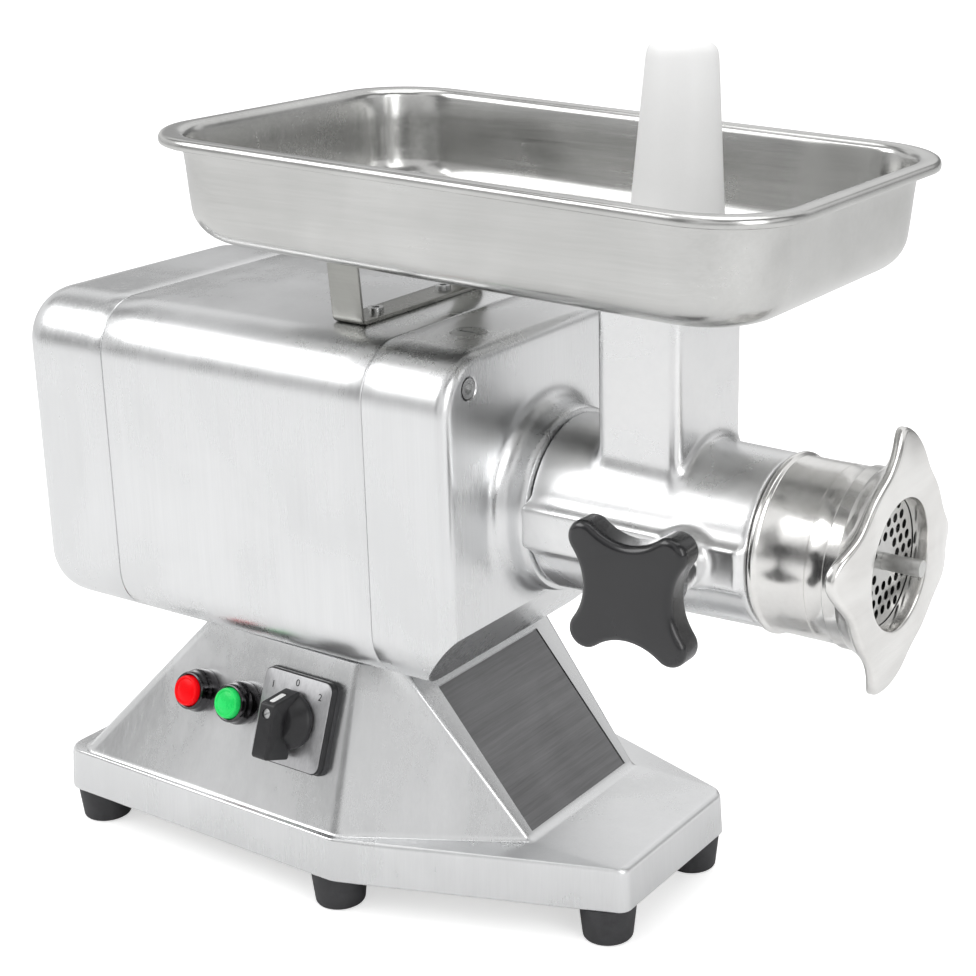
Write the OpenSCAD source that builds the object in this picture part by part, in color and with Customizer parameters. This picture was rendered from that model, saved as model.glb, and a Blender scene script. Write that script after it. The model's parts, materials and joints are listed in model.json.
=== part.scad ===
// Electric meat grinder: +X points out of the grinding head, +Z up, the feet stand on z = 0.

/* [Housing] */
// Width of the square housing
body_w = 170; // [160:1:180]
// Height of the square housing
body_h = 173; // [165:1:180]
// Radius of the housing's long edges
body_r = 28; // [22:1:34]
// Wall of the housing sleeve
body_wall = 4; // [3:0.5:5]
// X of the rear end of the rear cover
rear_x = -242; // [-250:1:-238]
// X of the seam between the rear cover and the sleeve
seam_rear_x = -181; // [-186:1:-178]
// X of the seam between the sleeve and the gearbox
seam_front_x = -11; // [-13:1:-10]
// X of the flat front face of the gearbox
front_x = 38; // [37:0.5:40]
// Height where the gearbox's front face turns back into its bevel
bevel_top = 161; // [158:1:163]
// X where that bevel meets the bottom of the gearbox
bevel_x = 10; // [8:0.5:14]

/* [Base] */
// Height of the rubber feet
foot_h = 20; // [16:1:24]
// Top of the foot plate
plate_top = 44; // [42:1:48]
// Wall of the base casting
base_wall = 4; // [3:0.5:5]
// Top of the pedestal, where the housing sits
seat_z = 127; // [124:1:130]

/* [Grinding head] */
// Height of the auger axis above the table
axis_z = 213; // [210:1:216]
// Bore of the barrel
barrel_bore_r = 31; // [30:0.5:31.5]
// Diameter of the cutting plate
cut_plate_d = 70; // [70:0.5:71]
// Diameter of the holes in the cutting plate
cut_hole_d = 4.5; // [3.5:0.5:5]
// X of the front face of the ring nut's wings
nose_x = 232; // [231:0.5:233]
// Centre of the feed neck along X
neck_x = 108.5; // [107:0.5:110]
// Length of the feed neck along X
neck_lx = 45; // [44:0.5:48]
// Length of the feed neck along Y
neck_ly = 62; // [58:1:64]

/* [Tray] */
// Length of the tray over its rim
tray_l = 346; // [330:1:360]
// Width of the tray over its rim
tray_w = 211; // [200:1:230]
// Depth of the tray from rim to floor
tray_depth = 54; // [48:1:60]
// Slope of the tray down towards the head
tray_tilt = 1.5; // [0:0.1:1.8]
// Sheet thickness of the tray
tray_t = 1.5; // [1:0.1:2]

/* [Gear train] */
// Teeth on the motor pinion
z_motor = 15; // [15:1:15]
// Teeth on the wheel it drives
z_wheel = 49; // [49:1:49]
// Teeth on the lay shaft's pinion
z_lay = 14; // [14:1:14]
// Teeth on the output wheel
z_out = 34; // [34:1:34]

/* [Controls] */
// Width of the switch's square face plate
switch_w = 46; // [44:1:48]
// Diameter of the push button lenses
lens_d = 16; // [15:0.5:18]
// Diameter of the cross-shaped clamp knob
knob_d = 80; // [76:1:84]

/* [Hidden] */
$fn = 48;

alu = [0.80, 0.81, 0.82];
steel = [0.70, 0.71, 0.72];
dark_steel = [0.36, 0.37, 0.38];
black = [0.08, 0.08, 0.09];

body_top = seat_z + body_h;
body_mid_z = seat_z + body_h / 2;
pressure_angle = 25;
stage1_m = 1.5;
stage2_m = 2;
shaft_gap = stage1_m * (z_motor + z_wheel) / 2 + 0.05;
lay_angle = -45;
lay_y = shaft_gap * cos(lay_angle);
lay_z = axis_z + shaft_gap * sin(lay_angle);
neck_top_z = 341;
tray_floor_z = 334;
tray_x = 38;
bracket_x = -55;
bracket_l = 19;
bracket_h = tray_floor_z + (neck_x - bracket_x - bracket_l) * tan(tray_tilt) - 0.3 - body_top;
// Half spacings of screws: bracket, housing corners, rear cover, seat, and the base cover's screws
bracket_y = 28;
corner_y = 65;
corner_z = 70;
rear_y = 50;
rear_z = 52;
seat_bolt_x = [-120, -50];
seat_bolt_y = 35;
cover_screws = [[-190, 0], [60, 0]];
// Oil plug on top of the gearbox
plug_x = 13;
plug_y = -30;
stomper_y = 5;
stomper_lean = 3.3;
gland_y = 45;
gland_z = 31.4;
knob_x = 143;
knob_face_y = -98;
clamp_tip_y = -40;

// Base outline at half width: rear, middle and front stations as [x, half width]
plate_outline = [[-228, 94], [-32, 100], [113, 49.5]];
pedestal_foot = [[-217, 91.9], [-32, 97], [57, 50]];
pedestal_seat = [[-144, 63.1], [-38, 66], [-13, 60]];
// Feet as [x, half spacing, length of the rib to the side wall]
foot_spots = [[-214, 79, 13], [-40, 85, 13], [98, 42, 11]];

// Slope of the front panel and of the control panel
slope_a = atan((seat_z - plate_top) / (pedestal_foot[2][0] - pedestal_seat[2][0]));
panel_yaw = atan((pedestal_foot[1][1] - pedestal_foot[0][1]) / (pedestal_foot[1][0] - pedestal_foot[0][0]));
panel_rise = (pedestal_foot[1][1] - pedestal_seat[1][1]) * cos(panel_yaw)
    + (pedestal_seat[1][0] - pedestal_foot[1][0]) * sin(panel_yaw);
panel_tilt = atan(panel_rise / (seat_z - plate_top));
// Distances from the panel's lower front corner, along it and up it
red_u = -104;
green_u = -75;
switch_u = -36;
control_v = 52;

// ---------- helpers ----------

// Rounded rectangle as a polygon, w along X and h along Y, centred
module rounded_rect(w, h, r, n = 9) {
    polygon([for (q = [0:3], k = [0:n])
        let (a = 90 * q + 90 * k / n,
             sx = (q == 0 || q == 3) ? 1 : -1,
             sy = q < 2 ? 1 : -1)
        [sx * (w / 2 - r) + r * cos(a), sy * (h / 2 - r) + r * sin(a)]]);
}

// Stands a flat outline up so that it is extruded along +X from x0 to x1
module along_x(x0, x1) {
    translate([x0, 0, 0]) rotate([90, 0, 90]) linear_extrude(height = x1 - x0) children();
}

// Cylinder along +X on the axis through (y, z)
module rod_x(x0, x1, r, y = 0, z = axis_z) {
    translate([x0, y, z]) rotate([0, 90, 0]) cylinder(h = x1 - x0, r = r);
}

// Ring along +X on the axis through (y, z)
module ring_x(x0, x1, r_out, r_in, y = 0, z = axis_z) {
    difference() {
        rod_x(x0, x1, r_out, y, z);
        rod_x(x0 - 1, x1 + 1, r_in, y, z);
    }
}

// Housing section, inset by d all round, between two X stations
module body_section(x0, x1, d) {
    translate([0, 0, body_mid_z]) along_x(x0, x1)
        rounded_rect(body_w - 2 * d, body_h - 2 * d, body_r - d);
}

// Symmetric six-cornered outline from three [x, half width] stations
function six(s) = [s[0], s[1], s[2], [s[2][0], -s[2][1]], [s[1][0], -s[1][1]], [s[0][0], -s[0][1]]];

// Thin slab of a six-cornered outline, inset by d, at height z
module slab(s, z, d, t = 0.01) {
    translate([0, 0, z]) linear_extrude(height = t)
        polygon(six([[s[0][0] + d, s[0][1] - d], [s[1][0], s[1][1] - 1.1 * d],
                     [s[2][0] - d, s[2][1] - 0.8 * d]]));
}

// Moves to a spot on the left-hand control panel, +Z out of the panel
module on_panel(u, v) {
    translate([pedestal_foot[1][0], -pedestal_foot[1][1], plate_top])
        rotate([0, 0, -panel_yaw]) rotate([90 - panel_tilt, 0, 0]) translate([u, v, 0]) children();
}

// Moves to the upper middle of the front slope, +Z out of it, +X down it
module on_slope() {
    translate([pedestal_seat[2][0], 0, seat_z]) rotate([0, slope_a, 0]) children();
}

// Half angle of a tooth at radius r, where rb is the base radius
function involute(a) = tan(a) * 180 / PI - a;
function tooth_half(r, rb, half) =
    half + involute(pressure_angle) - (r > rb ? involute(acos(rb / r)) : 0);

// Involute gear outline with z teeth of module m, thinned by the play
module gear_outline(m, z, play = 0.14) {
    rp = m * z / 2;
    rb = rp * cos(pressure_angle);
    rf = rp - 1.25 * m;
    ra = rp + m;
    half = 90 / z - play / 2 / rp * 180 / PI;
    steps = [rf, for (k = [0:4]) max(rb, rf) + 0.001 + (ra - max(rb, rf)) * k / 4];
    polygon([for (i = [0:z - 1])
        let (c = 360 * i / z)
        each concat(
            [for (r = steps) let (a = c - tooth_half(r, rb, half)) [r * cos(a), r * sin(a)]],
            [for (k = [5:-1:0]) let (r = steps[k], a = c + tooth_half(r, rb, half))
                [r * cos(a), r * sin(a)]])]);
}

// Screw with a socket head, head up at the origin, shank down
module cap_screw(d, head_d, head_h, length) {
    difference() {
        union() {
            cylinder(h = head_h, d = head_d);
            translate([0, 0, -length]) cylinder(h = length, d = d);
        }
        translate([0, 0, head_h / 2]) cylinder(h = head_h, d = d, $fn = 6);
    }
}

// ---------- base ----------

module base_casting() color(alu) {
    difference() {
        union() {
            difference() {
                hull() {
                    slab(plate_outline, foot_h, -1);
                    slab(plate_outline, plate_top - 0.01, 0);
                }
                hull() {
                    slab(plate_outline, foot_h - 0.1, 3);
                    slab(plate_outline, plate_top - base_wall, 4);
                }
            }
            hull() {
                slab(pedestal_foot, plate_top - base_wall, 0, base_wall);
                slab(pedestal_seat, seat_z - 0.01, 0);
            }
            for (s = foot_spots, y = [-s[1], s[1]])
                translate([s[0], y, foot_h + 4]) {
                    cylinder(h = plate_top - foot_h - 6, r = 8);
                    translate([-3, y > 0 ? 0 : -s[2], 0]) cube([6, s[2], plate_top - foot_h - 6]);
                }
        }
        hull() {
            slab(pedestal_foot, plate_top - base_wall - 1, base_wall, base_wall + 1);
            slab(pedestal_seat, seat_z - base_wall - 1, base_wall - 1.7);
        }
        translate([-80, 0, seat_z - 10]) cylinder(h = 20, r = 14);
        for (x = seat_bolt_x, y = [-seat_bolt_y, seat_bolt_y])
            translate([x, y, seat_z - 10]) cylinder(h = 20, r = 3.1);
        for (s = foot_spots, y = [-s[1], s[1]])
            translate([s[0], y, foot_h + 3]) cylinder(h = 12, r = 2.55);
        on_panel(red_u, control_v) translate([0, 0, -10]) cylinder(h = 20, r = 8.1);
        on_panel(green_u, control_v) translate([0, 0, -10]) cylinder(h = 20, r = 8.1);
        on_panel(switch_u, control_v) translate([0, 0, -10]) cylinder(h = 20, r = 11);
        on_slope() translate([16.5, -44.5, -1.5]) cube([88.5, 89, 3]);
        translate([-240, gland_y, gland_z]) rotate([0, 90, 0]) cylinder(h = 30, r = 7.65);
    }
}

module bottom_cover() color(steel) {
    difference() {
        slab(plate_outline, foot_h + 1.2, 4, 1.5);
        for (s = foot_spots, y = [-s[1], s[1]])
            translate([s[0], y, foot_h]) cylinder(h = 5, r = 9);
        for (k = [0:9])
            translate([-150 + 14 * k, -25, foot_h]) cube([5, 50, 5]);
        for (s = cover_screws)
            translate([s[0], s[1], foot_h]) cylinder(h = 5, r = 2.1);
    }
}

module bottom_screws() color(dark_steel) {
    for (s = cover_screws)
        translate([s[0], s[1], foot_h + 1.2]) rotate([180, 0, 0]) cap_screw(4, 7, 1.1, 8);
}

module slope_panel() color([0.30, 0.31, 0.32]) {
    on_slope() translate([17, -44, -1.5]) cube([87.5, 88, 1]);
}

module feet() color(black) {
    for (s = foot_spots, y = [-s[1], s[1]])
        translate([s[0], y, 0]) difference() {
            union() {
                cylinder(h = foot_h, r1 = 13, r2 = 15);
                translate([0, 0, foot_h - 0.5]) cylinder(h = 4.4, r = 8);
            }
            translate([0, 0, -1]) cylinder(h = foot_h + 10, r = 2.6);
            translate([0, 0, -1]) cylinder(h = 9, r = 6);
        }
}

module foot_screws() color(steel) {
    for (s = foot_spots, y = [-s[1], s[1]])
        translate([s[0], y, 8]) rotate([180, 0, 0]) cap_screw(5, 10, 4, 24);
}

// ---------- housing ----------

module body_shell() color(alu) {
    difference() {
        body_section(seam_rear_x, seam_front_x, 0);
        body_section(seam_rear_x - 1, seam_front_x + 1, body_wall);
        translate([-80, 0, seat_z - 3]) cylinder(h = 10, r = 14);
        for (x = seat_bolt_x, y = [-seat_bolt_y, seat_bolt_y])
            translate([x, y, seat_z - 3]) cylinder(h = 10, r = 2.6);
        for (y = [-bracket_y, bracket_y])
            translate([bracket_x + bracket_l / 2, y, body_top - 8]) cylinder(h = 10, r = 2.1);
    }
}

module housing_bolts() color(dark_steel) {
    for (x = seat_bolt_x, y = [-seat_bolt_y, seat_bolt_y])
        translate([x, y, seat_z - base_wall - 1.1]) rotate([180, 0, 0]) cap_screw(5, 9, 4, 12);
}

module rear_cover() color(alu) {
    difference() {
        hull() {
            body_section(seam_rear_x - 41, seam_rear_x - 0.2, 0);
            body_section(seam_rear_x - 48, seam_rear_x - 40, 1);
            body_section(seam_rear_x - 55, seam_rear_x - 40, 5);
            body_section(rear_x + 2.5, seam_rear_x - 40, 10);
            body_section(rear_x, seam_rear_x - 40, 17);
        }
        hull() {
            body_section(seam_rear_x - 43, seam_rear_x + 1, body_wall);
            body_section(rear_x + 4, seam_rear_x - 40, 18);
        }
        for (k = [-5:5])
            translate([rear_x - 1, 9 * k - 2, axis_z - 35]) cube([10, 4, 70]);
        for (y = [-rear_y, rear_y], z = [-rear_z, rear_z])
            rod_x(rear_x - 1, rear_x + 10, 2.6, y, body_mid_z + z);
    }
    for (y = [-rear_y, rear_y], z = [-rear_z, rear_z])
        ring_x(rear_x + 3.9, seam_rear_x + 3, 6, 2.6, y, body_mid_z + z);
}

module rear_screws() color(dark_steel) {
    for (y = [-rear_y, rear_y], z = [-rear_z, rear_z])
        translate([rear_x, y, body_mid_z + z]) rotate([0, -90, 0]) cap_screw(5, 9, 3, 74);
}

// Everything in front of and below the gearbox's bevel, the bevel moved in by d
module below_bevel(d) {
    run = front_x - bevel_x;
    rise = bevel_top - seat_z;
    slant = norm([run, rise]);
    below = 20;
    x0 = bevel_x - d * rise / slant;
    z0 = seat_z + d * run / slant;
    translate([0, 100, 0]) rotate([90, 0, 0]) linear_extrude(height = 200)
        polygon([[x0 - below * run / rise, z0 - below], [x0 + run, z0 + rise],
            [x0 + run + 40, z0 + rise], [x0 + run + 40, z0 - below]]);
}

module gearbox_casting() color(alu) {
    difference() {
        union() {
            difference() {
                union() {
                    body_section(seam_front_x + 0.2, front_x - 5, 0);
                    body_section(front_x - 6, front_x - 2.4, 0.9);
                    body_section(front_x - 3, front_x - 0.8, 2.2);
                    body_section(front_x - 1, front_x, 4);
                    body_section(-31, seam_front_x + 1, body_wall + 0.15);
                }
                difference() {
                    body_section(-32, front_x - 6, 10);
                    below_bevel(5);
                }
            }
            rod_x(1.5, front_x - 5, 31);
            rod_x(2, front_x - 5, 22, lay_y, lay_z);
            translate([front_x - 0.5, 0, axis_z]) rotate([0, 90, 0]) rotate_extrude()
                polygon(concat([[0, 0], [56, 0]],
                    [for (k = [0:6]) let (a = 90 * k / 6)
                        [56 - 9 * sin(a), 9 - 9 * cos(a) + 0.5]],
                    [[47, 15.7], [45.5, 17.5], [0, 17.5]]));
            for (y = [-corner_y, corner_y], z = [-corner_z, corner_z])
                rod_x(-30, front_x - 5, 8, y, body_mid_z + z);
        }
        below_bevel(0);
        rod_x(3, front_x - 0.9, 23.5);
        rod_x(0, 10, 20);
        rod_x(front_x - 1, front_x + 20, 36.05);
        rod_x(1, 13, 17.5, lay_y, lay_z);
        for (y = [-corner_y, corner_y]) {
            rod_x(front_x - 12, front_x + 1, 3.05, y, body_mid_z + corner_z);
            rod_x(front_x - 3.5, front_x + 1, 5.5, y, body_mid_z + corner_z);
            for (z = [-corner_z, corner_z])
                rod_x(-32, -14, 2.05, y, body_mid_z + z);
        }
        translate([plug_x, plug_y, body_top - 15]) cylinder(h = 20, r = 6.05);
        translate([plug_x, plug_y, body_top - 2.5]) cylinder(h = 5, r = 9);
    }
}

module front_screws() color(steel) {
    for (y = [-corner_y, corner_y])
        translate([front_x - 3.4, y, body_mid_z + corner_z]) rotate([0, 90, 0])
            cap_screw(6, 10, 3.2, 8);
}

module oil_plug() color(steel) {
    translate([plug_x, plug_y, body_top - 2.4]) difference() {
        union() {
            cylinder(h = 2.2, r = 8.8);
            translate([0, 0, -8]) cylinder(h = 8.1, r = 6);
        }
        translate([-6, -0.75, 1]) cube([12, 1.5, 2]);
    }
}

module tray_bracket() color(steel) {
    difference() {
        union() {
            translate([bracket_x, -50, body_top]) cube([bracket_l, 100, 2]);
            for (s = [-1, 1]) {
                translate([bracket_x, s > 0 ? 48 : -50, body_top]) cube([bracket_l, 2, bracket_h]);
                translate([bracket_x, s > 0 ? 34 : -50, body_top + bracket_h - 2])
                    cube([bracket_l, 16, 2]);
            }
        }
        for (y = [-bracket_y, bracket_y])
            translate([bracket_x + bracket_l / 2, y, body_top - 1]) cylinder(h = 5, r = 2.1);
    }
}

module bracket_screws() color(dark_steel) {
    for (y = [-bracket_y, bracket_y])
        translate([bracket_x + bracket_l / 2, y, body_top + 2]) cap_screw(4, 8, 2.4, 8);
}

// ---------- motor ----------

module gear_plate() color(alu) {
    difference() {
        body_section(-43, -31.1, body_wall + 0.4);
        rod_x(-44, -30, 20);
        rod_x(-42, -30, 17.5, lay_y, lay_z);
        for (y = [-corner_y, corner_y], z = [-corner_z, corner_z])
            rod_x(-45, -30, 2.1, y, body_mid_z + z);
    }
}

module gear_plate_screws() color(dark_steel) {
    for (y = [-corner_y, corner_y], z = [-corner_z, corner_z])
        translate([-43, y, body_mid_z + z]) rotate([0, -90, 0]) cap_screw(4, 7, 4, 26);
}

module motor_frame() color([0.55, 0.56, 0.57]) {
    difference() {
        union() {
            rod_x(-167, -43, 68);
            rod_x(-47, -43, 72);
        }
        rod_x(-168, -42, 64);
    }
}

module stator_core() color(dark_steel) {
    difference() {
        rod_x(-147, -71, 64);
        rod_x(-148, -70, 37);
        for (a = [0:15:345])
            translate([-148, 0, axis_z]) rotate([a, 0, 0]) translate([0, 40, -2.5]) cube([80, 12, 5]);
    }
}

module windings() color([0.72, 0.36, 0.16]) {
    for (x = [-154.2, -63.8])
        translate([x, 0, axis_z]) rotate([0, 90, 0]) rotate_extrude() translate([47, 0])
            circle(r = 7);
}

module motor_end_shield() color(alu) {
    difference() {
        union() {
            rod_x(-173, -167.1, 68);
            rod_x(-180, -168, 24);
            for (y = [-rear_y, rear_y], z = [-rear_z, rear_z])
                rod_x(-173, -167.1, 8, y, body_mid_z + z);
        }
        for (y = [-rear_y, rear_y], z = [-rear_z, rear_z])
            rod_x(-174, -166, 2.55, y, body_mid_z + z);
        rod_x(-178, -166, 17.5);
        rod_x(-182, -166, 9);
        for (a = [0:45:315])
            rod_x(-175, -165, 8, 45 * cos(a), axis_z + 45 * sin(a));
    }
}

module motor_bearings() color(steel) {
    ring_x(-43, -31.1, 20, 8.55);
    ring_x(-178, -167.2, 17.5, 7.55);
}

module rotor_core() color(dark_steel) ring_x(-147, -71, 36.5, 8.5);

module motor_shaft() color(steel) {
    rod_x(-160, -30, 8.5);
    rod_x(-197, -160, 7.5);
    translate([0, 0, axis_z]) along_x(-30.5, -16) rotate(lay_angle) gear_outline(stage1_m, z_motor);
}

module cooling_fan() color(black) {
    ring_x(-195, -183, 15, 7.5);
    ring_x(-186, -184, 56, 14.9);
    for (a = [0:40:320])
        translate([-195, 0, axis_z]) rotate([a, 0, 0]) translate([0, 14.5, -1]) cube([9.2, 40, 2]);
}

// ---------- gearbox ----------

module lay_bearings() color(steel) {
    ring_x(-42, -31.1, 17.5, 7.55, lay_y, lay_z);
    ring_x(2.2, 13, 17.5, 7.55, lay_y, lay_z);
}

module wheel_gear() color(steel) {
    difference() {
        translate([0, lay_y, lay_z]) along_x(-27, -17)
            rotate(lay_angle + 180 + 180 / z_wheel) gear_outline(stage1_m, z_wheel);
        rod_x(-28, -16, 9.5, lay_y, lay_z);
        for (a = [0:60:300])
            rod_x(-28, -16, 6, lay_y + 22 * cos(a), lay_z + 22 * sin(a));
    }
}

module lay_shaft() color(steel) {
    rod_x(-41.8, -30, 7.5, lay_y, lay_z);
    rod_x(-30, -15, 9.5, lay_y, lay_z);
    rod_x(-1, 12.8, 7.5, lay_y, lay_z);
    translate([0, lay_y, lay_z]) along_x(-15, 0)
        rotate(lay_angle + 180) gear_outline(stage2_m, z_lay);
}

module output_gear() color(steel) {
    difference() {
        translate([0, 0, axis_z]) along_x(-14, 0)
            rotate(lay_angle + 180 / z_out) gear_outline(stage2_m, z_out);
        rod_x(-15, 1, 12.5);
    }
}

module output_shaft() color(steel) {
    difference() {
        rod_x(-14.5, front_x - 1, 12.5);
        translate([15, 0, axis_z]) rotate([0, 90, 0])
            cylinder(h = 30, r = 10.0, $fn = 6);
    }
}

module output_bearings() color(steel) {
    ring_x(3.2, 15, 23.5, 12.55);
    ring_x(16, 28, 23.5, 12.55);
}

module shaft_seal() color(black) ring_x(28.5, front_x - 1.2, 23.5, 12.55);

// ---------- electrics ----------

module capacitor() color([0.75, 0.76, 0.78]) {
    translate([-115, 0, seat_z - base_wall - 76]) cylinder(h = 75, r = 20);
    for (y = [-6, 6])
        translate([-118, y, seat_z - base_wall - 84]) cube([6, 1, 8.1]);
}

module terminal_block() color([0.85, 0.85, 0.80]) {
    translate([-40, 10, foot_h + 2.75]) difference() {
        cube([50, 20, 16]);
        for (k = [0:4])
            translate([5 + 10 * k, 10, 8]) cylinder(h = 10, r = 2.5);
    }
}

module cord_gland() color(black) {
    translate([-229.2, gland_y, gland_z]) rotate([0, -90, 0]) difference() {
        union() {
            cylinder(h = 5, r = 11, $fn = 6);
            cylinder(h = 11, r = 8.5);
            translate([0, 0, -14]) cylinder(h = 14.5, r = 7.6);
            translate([0, 0, -9]) rotate([0, 0, 30]) cylinder(h = 3.5, r = 9.6, $fn = 6);
        }
        translate([0, 0, -20]) cylinder(h = 40, r = 4.5);
    }
}

module switch_gasket() color([0.42, 0.42, 0.43]) {
    on_panel(switch_u, control_v) difference() {
        translate([-(switch_w + 1) / 2, -(switch_w + 3) / 2, 0.05])
            cube([switch_w + 1, switch_w + 3, 2.4]);
        translate([0, 0, -1]) cylinder(h = 6, r = 11);
    }
}

module switch_body() color(black) {
    on_panel(switch_u, control_v) difference() {
        union() {
            translate([0, 0, 2.5]) linear_extrude(height = 3.3)
                rounded_rect(switch_w, switch_w + 2, 4, 4);
            translate([0, 0, -5]) cylinder(h = 9, r = 10.8);
            translate([-21, -21, -48]) cube([42, 42, 43]);
        }
        translate([0, 0, -1]) cylinder(h = 12, r = 5.05);
    }
}

module switch_plate() color([0.86, 0.86, 0.87]) {
    on_panel(switch_u, control_v) difference() {
        translate([0, 0, 5.8]) linear_extrude(height = 0.8)
            rounded_rect(switch_w, switch_w + 2, 4, 4);
        translate([0, 0, 5]) cylinder(h = 3, r = 7);
    }
}

module switch_handle() color(black) {
    on_panel(switch_u, control_v) difference() {
        union() {
            translate([0, 0, 6.9]) cylinder(h = 3.6, r = 15);
            translate([0, 0, 10.5]) cylinder(h = 6, r1 = 14, r2 = 9);
            translate([0, 0, -0.9]) cylinder(h = 8, r = 5);
            translate([-5, -20, 8]) rotate([90, 0, 90]) linear_extrude(height = 10)
                polygon([[1, 1], [36, 1], [36, 2], [29, 19], [1, 19], [0, 18], [0, 2]]);
        }
        translate([0, 4, 22]) cylinder(h = 10, r = 2.6);
    }
}

module handle_screw() color(steel) {
    on_panel(switch_u, control_v) difference() {
        translate([0, 4, 22.05]) cylinder(h = 4, r = 2.5);
        translate([0, 4, 26]) rotate([0, 0, 30]) cube([4, 0.8, 2], center = true);
    }
}

module button_collar(u) {
    on_panel(u, control_v) difference() {
        union() {
            translate([0, 0, 0.05]) cylinder(h = 6, r = 11.5);
            translate([0, 0, 6]) cylinder(h = 6, r1 = 11.5, r2 = 10);
            translate([0, 0, -28]) cylinder(h = 29, r = 8);
            translate([0, 0, -8.3]) cylinder(h = 4, r = 11, $fn = 6);
        }
        translate([0, 0, 1]) cylinder(h = 20, r = lens_d / 2 + 0.1);
    }
}

module button_lens(u) {
    on_panel(u, control_v) {
        translate([0, 0, 5]) cylinder(h = 8.5, r = lens_d / 2);
        translate([0, 0, 13.4]) cylinder(h = 1.2, r1 = lens_d / 2, r2 = lens_d / 2 - 1.5);
    }
}

module red_collar() color(dark_steel) button_collar(red_u);
module green_collar() color(dark_steel) button_collar(green_u);
module red_button() color([0.85, 0.05, 0.08]) button_lens(red_u);
module green_button() color([0.10, 0.75, 0.28]) button_lens(green_u);

// ---------- grinding head ----------

module head_casting() color(alu) {
    difference() {
        union() {
            rod_x(front_x + 0.6, front_x + 18, 35.98);
            translate([front_x + 17.6, 0, axis_z]) rotate([0, 90, 0])
                cylinder(h = 174 - front_x - 18, r1 = 44.5, r2 = 42);
            rod_x(173, 220, 38);
            translate([neck_x, 0, axis_z]) linear_extrude(height = tray_floor_z - 0.6 - axis_z)
                rounded_rect(neck_lx, neck_ly, 5, 6);
            translate([neck_x, 0, axis_z + 60]) linear_extrude(height = neck_top_z - axis_z - 60)
                rounded_rect(neck_lx - 5, neck_ly - 5, 6, 6);
            translate([60, -46, 202]) cube([110, 20, 20]);
            translate([knob_x, 0, axis_z]) rotate([90, 0, 0]) cylinder(h = 56, r = 13);
        }
        rod_x(front_x, 44, 31);
        rod_x(43, 54, 19);
        rod_x(53, 204, barrel_bore_r);
        rod_x(203, 213, 33);
        rod_x(213, 221, cut_plate_d / 2 + 0.05);
        translate([neck_x, 0, axis_z + 5]) linear_extrude(height = 140)
            rounded_rect(neck_lx - 8, neck_ly - 12, 8, 6);
        translate([knob_x, -37, axis_z]) rotate([90, 0, 0]) cylinder(h = 30, r = 5.05);
    }
}

module auger_bushing() color([0.78, 0.60, 0.30]) ring_x(44, 53, 19, 15.08);

module clamp_knob() color(black) {
    translate([knob_x, knob_face_y, axis_z]) rotate([-90, 0, 0]) difference() {
        union() {
            linear_extrude(height = 16)
                polygon([for (k = [0:79])
                    let (a = 360 * k / 80,
                         lobe = pow((1 + cos(4 * (a - 45))) / 2, 1.35),
                         r = 20 + (knob_d / 2 - 20) * lobe)
                    [r * cos(a), r * sin(a)]]);
            translate([0, 0, 15]) cylinder(h = 15, r1 = 19, r2 = 16);
        }
        translate([0, 0, 8]) cylinder(h = 40, r = 5);
    }
}

module clamp_screw() color(steel) {
    translate([knob_x, knob_face_y + 8, axis_z]) rotate([-90, 0, 0])
        cylinder(h = clamp_tip_y - knob_face_y - 8, r = 5);
}

module auger() color([0.66, 0.67, 0.68]) {
    translate([17, 0, axis_z]) rotate([0, 90, 0]) cylinder(h = 24, r = 9.8, $fn = 6);
    rod_x(40, 55, 15);
    translate([54.5, 0, axis_z]) rotate([0, 90, 0]) cylinder(h = 148, r1 = 14, r2 = 12);
    translate([56, 0, axis_z]) rotate([90, 0, 90])
        linear_extrude(height = 144, twist = -1440, slices = 80)
            polygon(concat([[9, -3], [9, 3]],
                [for (k = [2:-1:-2]) [30.4 * cos(13 * k), 30.4 * sin(13 * k)]]));
    translate([200, -7, axis_z - 7]) cube([12.5, 14, 14]);
    rod_x(205, 242, 4);
}

module knife() color(steel) {
    difference() {
        union() {
            rod_x(203.5, 212.8, 13);
            for (a = [0:90:270])
                translate([203.5, 0, axis_z]) rotate([a, 0, 0]) translate([0, 8, -5])
                    cube([9.3, 22, 8]);
        }
        translate([203, -7.05, axis_z - 7.05]) cube([11, 14.1, 14.1]);
    }
}

module cutting_plate() color(steel) {
    pitch = 6.9;
    difference() {
        rod_x(213.05, 223, cut_plate_d / 2);
        for (i = [-5:5], j = [-5:5])
            let (y = pitch * (i + j / 2), z = pitch * j * sqrt(3) / 2, r = norm([y, z]))
                if (r > 8 && r < 29.5)
                    rod_x(212, 224, cut_hole_d / 2, y, axis_z + z, $fn = 24);
        rod_x(212, 224, 4.09);
    }
}

module ring_nut() color([0.82, 0.83, 0.84]) {
    difference() {
        union() {
            translate([174.4, 0, axis_z]) rotate([0, 90, 0]) rotate_extrude()
                polygon([[30, 0], [42.6, 0], [43.6, 1.2], [43.6, 3], [42, 4.5], [42, 26],
                    [43, 27], [43, 40], [45, 47], [50, nose_x - 179.4], [50, nose_x - 174.4],
                    [30, nose_x - 174.4]]);
            translate([nose_x - 5.2, 0, axis_z]) rotate([90, 0, 90]) linear_extrude(height = 5.2)
                polygon([for (k = [0:119])
                    let (a = 3 * k, lobe = pow((1 + cos(4 * (a - 80))) / 2, 2.6), r = 48 + 15 * lobe)
                    [r * cos(a), r * sin(a)]]);
        }
        rod_x(170, 221, 38.09);
        rod_x(220, 223.3, 35.6);
        rod_x(223, nose_x + 1, 31);
    }
}

// ---------- tray and stomper ----------

// Tray level at depth z below the rim, drawn in by d all round
module tray_level(z, d, t = 0.05) {
    translate([0, 0, z]) linear_extrude(height = t)
        rounded_rect(tray_l - 2 * d, tray_w - 2 * d, max(44 - d, 6), 8);
}

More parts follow.
